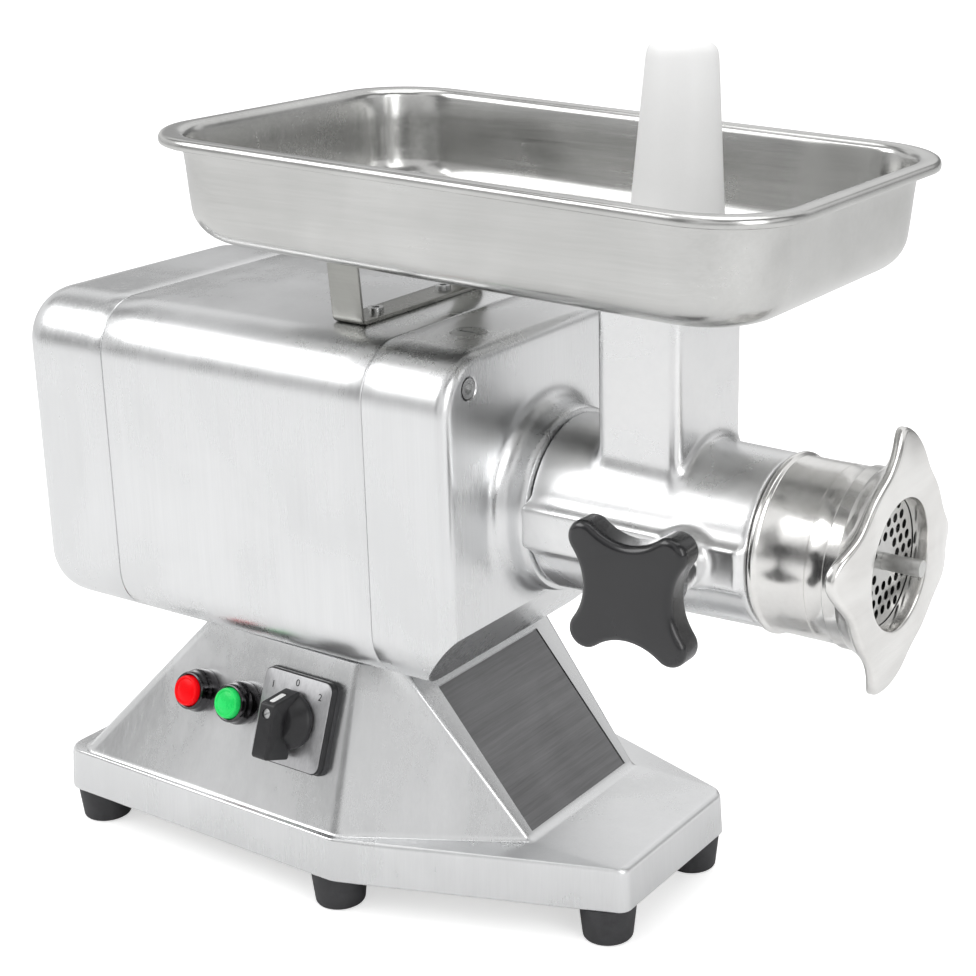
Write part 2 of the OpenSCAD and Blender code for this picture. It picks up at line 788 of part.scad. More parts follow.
module feed_tray() color(steel) {
    translate([neck_x, 0, tray_floor_z]) rotate([0, tray_tilt, 0]) translate([tray_x - neck_x, 0, 0])
        difference() {
            union() {
                hull() {
                    tray_level(0, 26);
                    tray_level(2.5, 18.5);
                    tray_level(8, 13.5);
                    tray_level(tray_depth - 1, 8);
                }
                tray_level(tray_depth - 5, 0, 5);
            }
            hull() {
                tray_level(tray_t, 26.5);
                tray_level(tray_t + 2.3, 20);
                tray_level(8, 15);
                tray_level(tray_depth + 1, 9.5);
            }
            translate([0, 0, tray_depth - 7]) difference() {
                tray_level(0, -1, 4.5);
                tray_level(-1, 7.5, 7);
                translate([0, 0, -1]) difference() {
                    tray_level(0, -2, 7);
                    tray_level(-1, 2, 9);
                }
            }
            translate([neck_x - tray_x, 0, -5]) linear_extrude(height = 20)
                rounded_rect(neck_lx - 4, neck_ly - 4, 6.5, 6);
        }
}

module stomper() color([0.94, 0.94, 0.93]) {
    translate([neck_x, stomper_y, neck_top_z + 1.8]) rotate([-stomper_lean, 0, 0]) {
        translate([0, 0, -86]) cylinder(h = 88, r1 = 15.5, r2 = 17);
        cylinder(h = 5, r = 24);
        translate([0, 0, 4.7]) cylinder(h = 90, r1 = 23.3, r2 = 16.5);
        translate([0, 0, 94.6]) cylinder(h = 3.1, r1 = 16.5, r2 = 12.5);
    }
}

base_casting();
bottom_cover();
bottom_screws();
slope_panel();
feet();
foot_screws();
body_shell();
housing_bolts();
rear_cover();
rear_screws();
gearbox_casting();
front_screws();
oil_plug();
tray_bracket();
bracket_screws();
gear_plate();
gear_plate_screws();
motor_frame();
stator_core();
windings();
motor_end_shield();
motor_bearings();
rotor_core();
motor_shaft();
cooling_fan();
lay_bearings();
wheel_gear();
lay_shaft();
output_gear();
output_shaft();
output_bearings();
shaft_seal();
capacitor();
terminal_block();
cord_gland();
switch_body();
switch_gasket();
switch_plate();
switch_handle();
handle_screw();
red_collar();
red_button();
green_collar();
green_button();
head_casting();
auger_bushing();
clamp_knob();
clamp_screw();
auger();
knife();
cutting_plate();
ring_nut();
feed_tray();
stomper();
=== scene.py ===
"""Electric meat grinder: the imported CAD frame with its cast, brushed, moulded and polished looks."""

import json
import logging
import math
from dataclasses import dataclass
from enum import Enum

import bpy
import numpy as np
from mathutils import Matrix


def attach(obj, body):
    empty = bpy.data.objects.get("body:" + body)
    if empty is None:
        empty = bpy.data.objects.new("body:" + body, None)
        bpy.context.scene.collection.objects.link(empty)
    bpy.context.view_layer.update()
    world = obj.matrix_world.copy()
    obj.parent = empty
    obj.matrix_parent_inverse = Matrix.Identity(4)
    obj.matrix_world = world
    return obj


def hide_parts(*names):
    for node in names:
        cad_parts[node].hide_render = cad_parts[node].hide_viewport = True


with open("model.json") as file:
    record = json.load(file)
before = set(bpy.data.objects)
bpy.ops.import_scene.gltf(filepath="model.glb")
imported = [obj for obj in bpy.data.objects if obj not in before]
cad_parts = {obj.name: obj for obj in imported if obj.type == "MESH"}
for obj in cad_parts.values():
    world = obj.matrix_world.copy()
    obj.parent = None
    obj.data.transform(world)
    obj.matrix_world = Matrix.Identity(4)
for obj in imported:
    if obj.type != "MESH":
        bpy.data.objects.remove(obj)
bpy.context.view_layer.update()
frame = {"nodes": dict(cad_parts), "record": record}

log = logging.getLogger("meat_grinder")
MM = 0.001


# ---------------------------------------------------------------- surfaces


@dataclass
class Surface:
    """A closed mesh surface in millimetres.

    Args:
        points: vertex positions, one row each.
        faces: lists of vertex numbers, quads and triangles.
    """

    points: np.ndarray
    faces: list

    def moved(self, place: "Place") -> "Surface":
        """The same surface set into a place."""
        return Surface(place.put(self.points), self.faces)

    def plus(self, other: "Surface") -> "Surface":
        """Both surfaces as one mesh.

        Args:
            other: the surface to add.
        Returns:
            the joined surface.
        """
        shift = len(self.points)
        more = [[i + shift for i in f] for f in other.faces]
        return Surface(np.concatenate([self.points, other.points]), self.faces + more)

    def facing_out(self) -> "Surface":
        """The surface with its faces turned outwards.

        The signed volume is the sum of a . (b x c) / 6 over its triangles; below zero, all faces turn round.

        Returns:
            the surface, turned round where it faced inwards.
        """
        tris = np.array([(f[0], f[k], f[k + 1]) for f in self.faces for k in range(1, len(f) - 1)])
        a, b, c = (self.points[tris[:, k]] for k in range(3))
        if np.einsum("ij,ij->", a, np.cross(b, c)) < 0:
            return Surface(self.points, [f[::-1] for f in self.faces])
        return self


@dataclass(frozen=True)
class Place:
    """A turned and shifted set of axes.

    Args:
        origin: where its zero point lies, in mm.
        x, y, z: its unit axes.
    """

    origin: tuple = (0.0, 0.0, 0.0)
    x: tuple = (1.0, 0.0, 0.0)
    y: tuple = (0.0, 1.0, 0.0)
    z: tuple = (0.0, 0.0, 1.0)

    def put(self, points: np.ndarray) -> np.ndarray:
        """Points given along this place's axes, as points of the frame."""
        return np.asarray(self.origin) + points @ np.array([self.x, self.y, self.z])


def along_x(y: float, z: float) -> Place:
    """A place on the line through (y, z) whose third axis is +X.

    Args:
        y, z: where the line crosses the YZ plane, in mm.
    Returns:
        the place.
    """
    return Place((0.0, y, z), (0.0, 1.0, 0.0), (0.0, 0.0, 1.0), (1.0, 0.0, 0.0))


def loft(rings: np.ndarray, caps: bool = True, wrap: bool = False) -> Surface:
    """A skin over closed rings: point (i, j) is ring i's point j.

    Args:
        rings: array of ring, point and coordinate.
        caps: closes both ends with a fan round each end ring's mean.
        wrap: joins the last ring to the first instead.
    Returns:
        the closed surface.
    """
    m, n = rings.shape[:2]
    i, j = np.meshgrid(np.arange(m if wrap else m - 1), np.arange(n), indexing="ij")
    i2, j2 = (i + 1) % m, (j + 1) % n
    faces = np.stack([i * n + j, i * n + j2, i2 * n + j2, i2 * n + j], -1).reshape(-1, 4).tolist()
    points = rings.reshape(-1, 3)
    if caps and not wrap:
        k = np.arange(n)
        ends = np.stack([rings[0].mean(0), rings[-1].mean(0)])
        points = np.concatenate([points, ends])
        first = np.stack([(k + 1) % n, k, np.full(n, m * n)], -1)
        last = np.stack([(m - 1) * n + k, (m - 1) * n + (k + 1) % n, np.full(n, m * n + 1)], -1)
        faces += first.tolist() + last.tolist()
    return Surface(points, faces)


def turned(profile: list, sides: int = 64, wrap: bool = False) -> Surface:
    """A turned shape about the third axis: (r cos a, r sin a, h) for each (h, r) of the profile.

    Args:
        profile: pairs of height and radius, in mm.
        sides: points round the axis.
        wrap: closes the profile on itself, for a ring.
    Returns:
        the closed surface.
    """
    p = np.array(profile, float)
    a = np.linspace(0, 2 * math.pi, sides, endpoint=False)
    h = np.repeat(p[:, :1], sides, 1)
    rings = np.stack([p[:, 1:] * np.cos(a), p[:, 1:] * np.sin(a), h], -1)
    return loft(rings, caps=not wrap, wrap=wrap)


def arc(centre: tuple, radius: float, start: float, end: float, steps: int = 6) -> list:
    """Points of a circular arc: centre + radius (cos a, sin a), a in degrees from start to end."""
    a = np.radians(np.linspace(start, end, steps))
    return np.stack([centre[0] + radius * np.cos(a), centre[1] + radius * np.sin(a)], -1).tolist()


def rounded_polygon(corners: np.ndarray, radii: np.ndarray, arc_n: int = 8, edge_n: int = 8) -> np.ndarray:
    """Outline of straight edges joined by arcs that touch both neighbours.

    Each arc's centre lies its radius inside both edges.
    The arc starts radius * tan(half the turn) before the corner.

    Args:
        corners: corners in anticlockwise order.
        radii: one radius for each corner.
        arc_n: points on each arc.
        edge_n: points between two arcs.
    Returns:
        array of points, arc by arc and edge by edge.
    """
    u = corners - np.roll(corners, 1, 0)
    u /= np.linalg.norm(u, axis=1)[:, None]
    w = np.roll(u, -1, 0)
    turn = np.arctan2(u[:, 0] * w[:, 1] - u[:, 1] * w[:, 0], (u * w).sum(1))
    left = np.stack([-u[:, 1], u[:, 0]], 1)
    centre = corners - u * (radii * np.tan(turn / 2))[:, None] + left * radii[:, None]
    a = np.arctan2(-left[:, 1], -left[:, 0])[:, None] + turn[:, None] * np.linspace(0, 1, arc_n)
    arcs = centre[:, None] + radii[:, None, None] * np.stack([np.cos(a), np.sin(a)], -1)
    f = np.linspace(0, 1, edge_n + 2)[1:-1][None, :, None]
    edges = arcs[:, -1:] * (1 - f) + np.roll(arcs, -1, 0)[:, :1] * f
    return np.concatenate([arcs, edges], 1).reshape(-1, 2)


def inset_polygon(corners: np.ndarray, d: float) -> np.ndarray:
    """Corners of the polygon whose edges all lie d further in.

    A corner moves along both edge normals: it solves left_u . p = left_w . p = d.

    Args:
        corners: corners in anticlockwise order.
        d: the distance, in mm.
    Returns:
        the new corners.
    """
    u = corners - np.roll(corners, 1, 0)
    u /= np.linalg.norm(u, axis=1)[:, None]
    left = np.stack([-u[:, 1], u[:, 0]], 1)
    m = np.stack([left, np.roll(left, -1, 0)], 1)
    return corners + np.linalg.solve(m, np.full((len(corners), 2, 1), d))[:, :, 0]


def rectangle(w: float, h: float, r: float, arc_n: int = 10, edge_n: int = 8) -> np.ndarray:
    """Rounded rectangle outline, w by h, centred, corner radius r."""
    c = np.array([[-w, -h], [w, -h], [w, h], [-w, h]]) / 2
    return rounded_polygon(c, np.full(4, float(r)), arc_n, edge_n)


def shrunk(outline: np.ndarray, d: float) -> np.ndarray:
    """An anticlockwise outline moved d inwards along its own normals.

    Args:
        outline: points in anticlockwise order.
        d: the distance, in mm.
    Returns:
        the new points.
    """
    t = np.roll(outline, -1, 0) - np.roll(outline, 1, 0)
    t /= np.linalg.norm(t, axis=1)[:, None]
    return outline + d * np.stack([-t[:, 1], t[:, 0]], 1)


def circle(r: float, a: np.ndarray) -> np.ndarray:
    """Points of a circle at the angles a: (r cos a, r sin a)."""
    return np.stack([r * np.cos(a), r * np.sin(a)], -1)


def standing(outline: np.ndarray, x: float) -> np.ndarray:
    """A (y, z) outline as a ring at that X."""
    return np.column_stack([np.full(len(outline), x), outline])


def at_height(outline: np.ndarray, z: float | np.ndarray) -> np.ndarray:
    """An (x, y) outline as a ring at height z."""
    return np.column_stack([outline, np.broadcast_to(z, len(outline))])


def level_surface(values: np.ndarray, low: np.ndarray, step: float) -> Surface:
    """The closed surface where a field on a grid is zero.

    A cell with both signs gets one vertex, at the mean of the crossings on its edges.
    A grid edge whose ends differ in sign gets one quad between its four cells.
    Each vertex then moves twice by -value * slope / |slope|^2 onto the surface.

    Args:
        values: the field, below zero inside.
        low: position of its first grid point, in mm.
        step: grid spacing, in mm.
    Returns:
        the closed surface, in mm.
    """
    inside = values < 0
    cells = tuple(s - 1 for s in values.shape)
    total, count = np.zeros((*cells, 3), np.float32), np.zeros(cells, np.float32)
    numbers = np.meshgrid(*[np.arange(s) for s in values.shape], indexing="ij")
    grids = [g.astype(np.float32) for g in numbers]
    crossings = []
    for ax in range(3):
        lo = tuple(slice(0, -1) if k == ax else slice(None) for k in range(3))
        hi = tuple(slice(1, None) if k == ax else slice(None) for k in range(3))
        cut = inside[lo] != inside[hi]
        crossings.append((cut, inside[lo]))
        t = np.where(cut, values[lo] / np.where(cut, values[lo] - values[hi], 1), 0).astype(np.float32)
        at = np.stack([grids[k][lo] + (t if k == ax else 0) for k in range(3)], -1) * cut[..., None]
        u, v = [k for k in range(3) if k != ax]
        for du in (0, 1):
            for dv in (0, 1):
                s = [slice(None)] * 3
                s[u], s[v] = slice(du, cells[u] + du), slice(dv, cells[v] + dv)
                total += at[tuple(s)]
                count += cut[tuple(s)]
    used = count > 0
    number = np.full(cells, -1)
    number[used] = np.arange(used.sum())
    points = total[used] / count[used][:, None]
    quads = []
    for ax, (cut, start_inside) in enumerate(crossings):
        u, v = (ax + 1) % 3, (ax + 2) % 3
        at = np.argwhere(cut)
        at = at[(at[:, u] > 0) & (at[:, v] > 0) & (at[:, u] < cells[u]) & (at[:, v] < cells[v])]
        corner = []
        for du, dv in ((1, 1), (0, 1), (0, 0), (1, 0)):
            c = at.copy()
            c[:, u] -= du
            c[:, v] -= dv
            corner.append(number[tuple(c.T)])
        q = np.stack(corner, 1)
        out = start_inside[tuple(at.T)]
        quads.append(np.where(out[:, None], q, q[:, ::-1]))
    slopes = np.stack(np.gradient(values.astype(np.float32)), -1)
    least_slope, longest_move = 0.05, 0.35
    for _ in range(2):
        i = np.clip(points.astype(int), 0, np.array(cells) - 1)
        f = points - i
        value, slope = 0.0, 0.0
        for c in np.ndindex(2, 2, 2):
            w = np.prod(np.where(np.array(c), f, 1 - f), axis=1)
            k = tuple((i + np.array(c)).T)
            value, slope = value + w * values[k], slope + w[:, None] * slopes[k]
        move = -value[:, None] * slope / np.maximum((slope**2).sum(1), least_slope)[:, None]
        points = points + np.clip(move, -longest_move, longest_move)
    return Surface(low + points * step, np.concatenate(quads).tolist())


def blend_min(a: np.ndarray, b: np.ndarray, r: float) -> np.ndarray:
    """Union of two distance fields with a fillet of about radius r.

    It is min(a, b) - h^2 r / 4, with h = max(r - |a - b|, 0) / r.
    """
    h = np.maximum(r - np.abs(a - b), 0) / r
    return np.minimum(a, b) - h * h * r / 4


def blend_max(a: np.ndarray, b: np.ndarray, r: float) -> np.ndarray:
    """Overlap of two distance fields with a rounded edge of about radius r."""
    return -blend_min(-a, -b, r)


def rod_field(axial: np.ndarray, radial: np.ndarray, lo: float, hi: float,
              r: float | np.ndarray) -> np.ndarray:
    """Distance to a rod: max(radial - r, lo - axial, axial - hi)."""
    return np.maximum(radial - r, np.maximum(lo - axial, axial - hi))


def box_field(p: list, centre: tuple, half: tuple, r: float) -> np.ndarray:
    """Distance to a box with rounded edges.

    It is |max(q, 0)| + min(max(q), 0) - r, with q = |p - centre| - half + r.

    Args:
        p: the X, Y and Z grids.
        centre, half: the box's middle and half sizes, in mm.
        r: the radius of its edges, in mm.
    Returns:
        the field.
    """
    q = [np.abs(a - c) - h + r for a, c, h in zip(p, centre, half)]
    out = np.sqrt(sum(np.maximum(a, 0) ** 2 for a in q))
    return out + np.minimum(np.maximum(np.maximum(q[0], q[1]), q[2]), 0) - r


# ---------------------------------------------------------------- finishes


class Grain(Enum):
    """The way the fine lines of a finish run, as stretches along X, Y and Z."""

    ALONG_X = (0.03, 1.0, 1.0)
    ALONG_Y = (1.0, 0.03, 1.0)
    ALONG_Z = (1.0, 1.0, 0.03)
    NONE = (1.0, 1.0, 1.0)


class Nodes:
    """Small helper that adds nodes to one tree and joins them."""

    def __init__(self, tree: bpy.types.NodeTree) -> None:
        """Keeps the tree it works on."""
        self.tree = tree

    def add(self, kind: str, links: dict | None = None, **values: object) -> bpy.types.Node:
        """Adds a node.

        Args:
            kind: Blender's node type.
            links: input name or number to an output socket or a value.
            values: node properties.
        Returns:
            the node.
        """
        node = self.tree.nodes.new(kind)
        for name, value in values.items():
            setattr(node, name, value)
        for name, value in (links or {}).items():
            if isinstance(value, bpy.types.NodeSocket):
                self.tree.links.new(value, node.inputs[name])
            else:
                node.inputs[name].default_value = value
        return node


def new_group(name: str, inputs: list, outputs: list) -> tuple:
    """An empty shader node group.

    Args:
        name: its name.
        inputs: (name, socket type, value) for each input.
        outputs: (name, socket type) for each output.
    Returns:
        the group, its node helper, its input node and its output node.
    """
    group = bpy.data.node_groups.new(name, "ShaderNodeTree")
    for label, kind, value in inputs:
        socket = group.interface.new_socket(label, in_out="INPUT", socket_type=kind)
        if value is not None:
            socket.default_value = value
    for label, kind in outputs:
        group.interface.new_socket(label, in_out="OUTPUT", socket_type=kind)
    nodes = Nodes(group)
    return group, nodes, nodes.add("NodeGroupInput"), nodes.add("NodeGroupOutput")


class Effects:
    """The shader groups that the finishes share, built once."""

    def __init__(self) -> None:
        """Builds every group."""
        self.lines = self._lines()
        self.clouds = self._clouds()
        self.pits = self._pits()
        self.scuffs = self._scuffs()

    def _lines(self) -> bpy.types.NodeTree:
        """Drawn lines: stretched noise at 1, 0.35 and 0.08 of the scale, in Value (0 to 1).

        Returns:
            the group.
        """
        group, n, gi, go = new_group(
            "drawn_lines",
            [("Vector", "NodeSocketVector", None), ("Stretch", "NodeSocketVector", (1, 1, 1)),
             ("Scale", "NodeSocketFloat", 900.0)],
            [("Value", "NodeSocketFloat")],
        )
        m = n.add("ShaderNodeVectorMath", {0: gi.outputs["Vector"], 1: gi.outputs["Stretch"]},
                  operation="MULTIPLY")
        fine = n.add("ShaderNodeTexNoise",
                     {"Vector": m.outputs[0], "Scale": gi.outputs["Scale"], "Detail": 3.0,
                      "Roughness": 0.65})
        mix = fine.outputs["Fac"]
        for share, weight in ((0.35, 0.4), (0.08, 0.25)):
            part = n.add("ShaderNodeMath", {0: gi.outputs["Scale"], 1: share}, operation="MULTIPLY")
            broad = n.add("ShaderNodeTexNoise",
                          {"Vector": m.outputs[0], "Scale": part.outputs[0], "Detail": 2.0})
            mix = n.add("ShaderNodeMix", {0: weight, 2: mix, 3: broad.outputs["Fac"]}).outputs[0]
        spread = n.add("ShaderNodeMapRange", {"Value": mix, "From Min": 0.34, "From Max": 0.66})
        group.links.new(spread.outputs[0], go.inputs["Value"])
        return group

    def _clouds(self) -> bpy.types.NodeTree:
        """Slow uneven patches: soft noise in Value (0 to 1).

        Returns:
            the group.
        """
        group, n, gi, go = new_group(
            "uneven_patches",
            [("Vector", "NodeSocketVector", None), ("Scale", "NodeSocketFloat", 14.0)],
            [("Value", "NodeSocketFloat")],
        )
        noise = n.add("ShaderNodeTexNoise",
                      {"Vector": gi.outputs["Vector"], "Scale": gi.outputs["Scale"], "Detail": 3.0,
                       "Distortion": 0.6})
        spread = n.add("ShaderNodeMapRange",
                       {"Value": noise.outputs["Fac"], "From Min": 0.3, "From Max": 0.7},
                       interpolation_type="SMOOTHSTEP")
        group.links.new(spread.outputs[0], go.inputs["Value"])
        return group

    def _pits(self) -> bpy.types.NodeTree:
        """Cast or moulded grain: small cells and fine noise as Height.

        Returns:
            the group.
        """
        group, n, gi, go = new_group(
            "cast_grain",
            [("Vector", "NodeSocketVector", None), ("Scale", "NodeSocketFloat", 700.0)],
            [("Height", "NodeSocketFloat")],
        )
        cells = n.add("ShaderNodeTexVoronoi",
                      {"Vector": gi.outputs["Vector"], "Scale": gi.outputs["Scale"]})
        noise = n.add("ShaderNodeTexNoise",
                      {"Vector": gi.outputs["Vector"], "Scale": gi.outputs["Scale"], "Detail": 4.0})
        mix = n.add("ShaderNodeMix", {0: 0.5, 2: cells.outputs["Distance"], 3: noise.outputs["Fac"]})
        group.links.new(mix.outputs[0], go.inputs["Height"])
        return group

    def _scuffs(self) -> bpy.types.NodeTree:
        """Sparse handling marks: noise bands kept only where a second, slower noise is high, as Mask.

        Returns:
            the group.
        """
        group, n, gi, go = new_group(
            "handling_marks",
            [("Vector", "NodeSocketVector", None), ("Scale", "NodeSocketFloat", 60.0)],
            [("Mask", "NodeSocketFloat")],
        )
        slow = n.add("ShaderNodeTexNoise", {"Vector": gi.outputs["Vector"], "Scale": 9.0, "Detail": 2.0})
        where = n.add("ShaderNodeMapRange",
                      {"Value": slow.outputs["Fac"], "From Min": 0.55, "From Max": 0.72})
        quick = n.add("ShaderNodeTexNoise",
                      {"Vector": gi.outputs["Vector"], "Scale": gi.outputs["Scale"], "Detail": 5.0,
                       "Roughness": 0.7})
        marks = n.add("ShaderNodeMapRange",
                      {"Value": quick.outputs["Fac"], "From Min": 0.5, "From Max": 0.62})
        both = n.add("ShaderNodeMath", {0: where.outputs[0], 1: marks.outputs[0]}, operation="MULTIPLY")
        group.links.new(both.outputs[0], go.inputs["Mask"])
        return group


@dataclass(frozen=True)
class Finish:
    """A finish of one material.

    Args:
        slot: the record's material slot.
        light, dark: the two colours that its pattern moves between.
        metal: 1 for bare metal, 0 otherwise.
        smooth, rough: the lowest and highest roughness.
        grain: the way its lines run.
        line_scale: how many lines in a metre, roughly.
        line_depth: height of the lines, in mm.
        patch_scale: how many uneven patches in a metre, roughly.
        grain_scale: cells of cast or moulded grain in a metre; 0 for none.
        grain_depth: height of that grain, in mm.
        coat: clear coat weight.
        painted_glow: strength of painted light that the surface emits as its own, used on the push-button
            lenses, which hold no lamp.
        patch_share: how much the patches count in the colour, against the lines.
        shine: specular level of a surface that is not metal.
    """

    slot: str
    light: tuple
    dark: tuple
    metal: float = 1.0
    smooth: float = 0.25
    rough: float = 0.4
    grain: Grain = Grain.NONE
    line_scale: float = 900.0
    line_depth: float = 0.0
    patch_scale: float = 14.0
    grain_scale: float = 0.0
    grain_depth: float = 0.0
    coat: float = 0.0
    painted_glow: float = 0.0
    patch_share: float = 0.5
    shine: float = 0.5

    def material(self, effects: Effects) -> bpy.types.Material:
        """The Blender material, made once for each slot under its own name, apart from the CAD import's.

        Args:
            effects: the shared groups.
        """
        name = f"finish_{self.slot}"
        if name in bpy.data.materials:
            return bpy.data.materials[name]
        mat = bpy.data.materials.new(name)
        mat.use_nodes = True
        n = Nodes(mat.node_tree)
        shader = mat.node_tree.nodes["Principled BSDF"]
        shader.inputs["Metallic"].default_value = self.metal
        shader.inputs["Specular IOR Level"].default_value = self.shine
        shader.inputs["Coat Weight"].default_value = self.coat
        shader.inputs["Coat Roughness"].default_value = 0.08
        where = n.add("ShaderNodeTexCoord").outputs["Object"]
        patches = n.add("ShaderNodeGroup", node_tree=effects.clouds)
        mat.node_tree.links.new(where, patches.inputs["Vector"])
        patches.inputs["Scale"].default_value = self.patch_scale
        lines = n.add("ShaderNodeGroup", node_tree=effects.lines)
        mat.node_tree.links.new(where, lines.inputs["Vector"])
        lines.inputs["Stretch"].default_value = self.grain.value
        lines.inputs["Scale"].default_value = self.line_scale
        tone = n.add("ShaderNodeMix", {0: self.patch_share, 2: lines.outputs[0], 3: patches.outputs[0]})
        colour = n.add("ShaderNodeMix", {0: tone.outputs[0], 6: (*self.dark, 1), 7: (*self.light, 1)},
                       data_type="RGBA")
        scuffs = n.add("ShaderNodeGroup", node_tree=effects.scuffs)
        mat.node_tree.links.new(where, scuffs.inputs["Vector"])
        wear = n.add("ShaderNodeMath", {0: scuffs.outputs[0], 1: 0.22, 2: tone.outputs[0]},
                     operation="MULTIPLY_ADD")
        rough = n.add(
            "ShaderNodeMapRange", {"Value": wear.outputs[0], "To Min": self.smooth, "To Max": self.rough}
        )
        link = mat.node_tree.links.new
        link(colour.outputs[2], shader.inputs["Base Color"])
        link(rough.outputs[0], shader.inputs["Roughness"])
        normal = None
        if self.line_depth:
            bump = n.add("ShaderNodeBump", {"Height": lines.outputs[0], "Distance": self.line_depth * MM})
            normal = bump.outputs[0]
        if self.grain_scale:
            pits = n.add("ShaderNodeGroup", node_tree=effects.pits)
            link(where, pits.inputs["Vector"])
            pits.inputs["Scale"].default_value = self.grain_scale
            bump = n.add("ShaderNodeBump", {"Height": pits.outputs[0], "Distance": self.grain_depth * MM})
            if normal:
                link(normal, bump.inputs["Normal"])
            normal = bump.outputs[0]
        if normal:
            link(normal, shader.inputs["Normal"])
        # Painted light: the colour is also emitted, so the push-button lenses shine though they hold no lamp.
        if self.painted_glow:
            link(colour.outputs[2], shader.inputs["Emission Color"])
            shader.inputs["Emission Strength"].default_value = self.painted_glow
        return mat


FINISHES = {
    f.slot: f
    for f in (
        Finish("brushed_aluminium", (0.78, 0.785, 0.79), (0.66, 0.665, 0.67), smooth=0.2, rough=0.36,
               grain=Grain.ALONG_Z,
               line_scale=900, line_depth=0.012, patch_scale=13, patch_share=0.6),
        Finish("cast_aluminium", (0.84, 0.84, 0.84), (0.72, 0.725, 0.73), smooth=0.22, rough=0.38,
               line_scale=300,
               patch_scale=24, grain_scale=900, grain_depth=0.015, patch_share=0.7),
        Finish("sheet_steel", (0.40, 0.40, 0.38), (0.20, 0.20, 0.185), smooth=0.2, rough=0.42,
               grain=Grain.ALONG_X,
               line_depth=0.01, patch_scale=28, patch_share=0.75),
        Finish("screw_steel", (0.70, 0.71, 0.71), (0.45, 0.45, 0.45), smooth=0.2, rough=0.4,
               patch_scale=60),
        Finish("dark_panel", (0.31, 0.31, 0.315), (0.17, 0.17, 0.173), smooth=0.28, rough=0.5,
               grain=Grain.ALONG_Y,
               line_scale=1300, line_depth=0.025, patch_scale=22, patch_share=0.3),
        Finish("foot_rubber", (0.050, 0.050, 0.053), (0.018, 0.018, 0.02), metal=0, smooth=0.5, rough=0.75,
               patch_scale=90, grain_scale=1200, grain_depth=0.06),
        Finish("stainless", (0.62, 0.62, 0.61), (0.46, 0.46, 0.45), smooth=0.14, rough=0.3,
               grain=Grain.ALONG_X,
               line_scale=1000, line_depth=0.012, patch_scale=12, patch_share=0.55),
        Finish("polished_steel", (0.86, 0.855, 0.84), (0.70, 0.69, 0.675), smooth=0.12, rough=0.26,
               grain=Grain.ALONG_Y,
               line_scale=500, line_depth=0.006, patch_scale=30),
        Finish("core_steel", (0.40, 0.40, 0.41), (0.22, 0.22, 0.23), rough=0.5, grain=Grain.ALONG_Y,
               line_depth=0.02),
        Finish("copper_wire", (0.80, 0.42, 0.2), (0.55, 0.25, 0.1), smooth=0.25, rough=0.4,
               grain=Grain.ALONG_Y,
               line_scale=500, line_depth=0.1),
        Finish("gear_steel", (0.66, 0.67, 0.68), (0.45, 0.46, 0.47), smooth=0.18, rough=0.36,
               grain=Grain.ALONG_Y, line_depth=0.01),
        Finish("black_plastic", (0.026, 0.026, 0.028), (0.012, 0.012, 0.013), metal=0, shine=0.4,
               smooth=0.3, rough=0.46,
               patch_scale=50, grain_scale=2500, grain_depth=0.02),
        Finish("gloss_black", (0.016, 0.016, 0.018), (0.008, 0.008, 0.009), metal=0, smooth=0.16, rough=0.3,
               patch_scale=40, grain_scale=1500, grain_depth=0.008, coat=0.25),
        Finish("pale_plastic", (0.88, 0.88, 0.84), (0.8, 0.8, 0.75), metal=0, smooth=0.35, rough=0.5),
        Finish("switch_face", (0.60, 0.60, 0.61), (0.40, 0.40, 0.41), smooth=0.3, rough=0.45,
               grain=Grain.ALONG_Z,
               line_scale=1400, line_depth=0.01, patch_share=0.3),
        Finish("collar_chrome", (0.11, 0.105, 0.11), (0.04, 0.04, 0.042), smooth=0.1, rough=0.22,
               patch_scale=60),
        # The red and green lenses carry painted light: emission on push buttons that hold no lamp.
        Finish("red_lens", (0.82, 0.003, 0.008), (0.62, 0.001, 0.003), metal=0, smooth=0.2, rough=0.3,
               shine=0.12,
               painted_glow=0.35, patch_scale=60),
        Finish("green_lens", (0.02, 0.62, 0.13), (0.006, 0.42, 0.07), metal=0, smooth=0.2, rough=0.34,
               shine=0.25,
               painted_glow=0.35, patch_scale=60),
        Finish("bronze", (0.78, 0.57, 0.28), (0.6, 0.42, 0.18), smooth=0.25, rough=0.4),
        Finish("cast_tinned", (0.70, 0.70, 0.69), (0.5, 0.5, 0.49), smooth=0.25, rough=0.45,
               grain_scale=700, grain_depth=0.04),
        Finish("white_plastic", (0.86, 0.86, 0.857), (0.83, 0.83, 0.823), metal=0, smooth=0.38, rough=0.52,
               patch_scale=12, grain_scale=1800, grain_depth=0.012),
    )
}


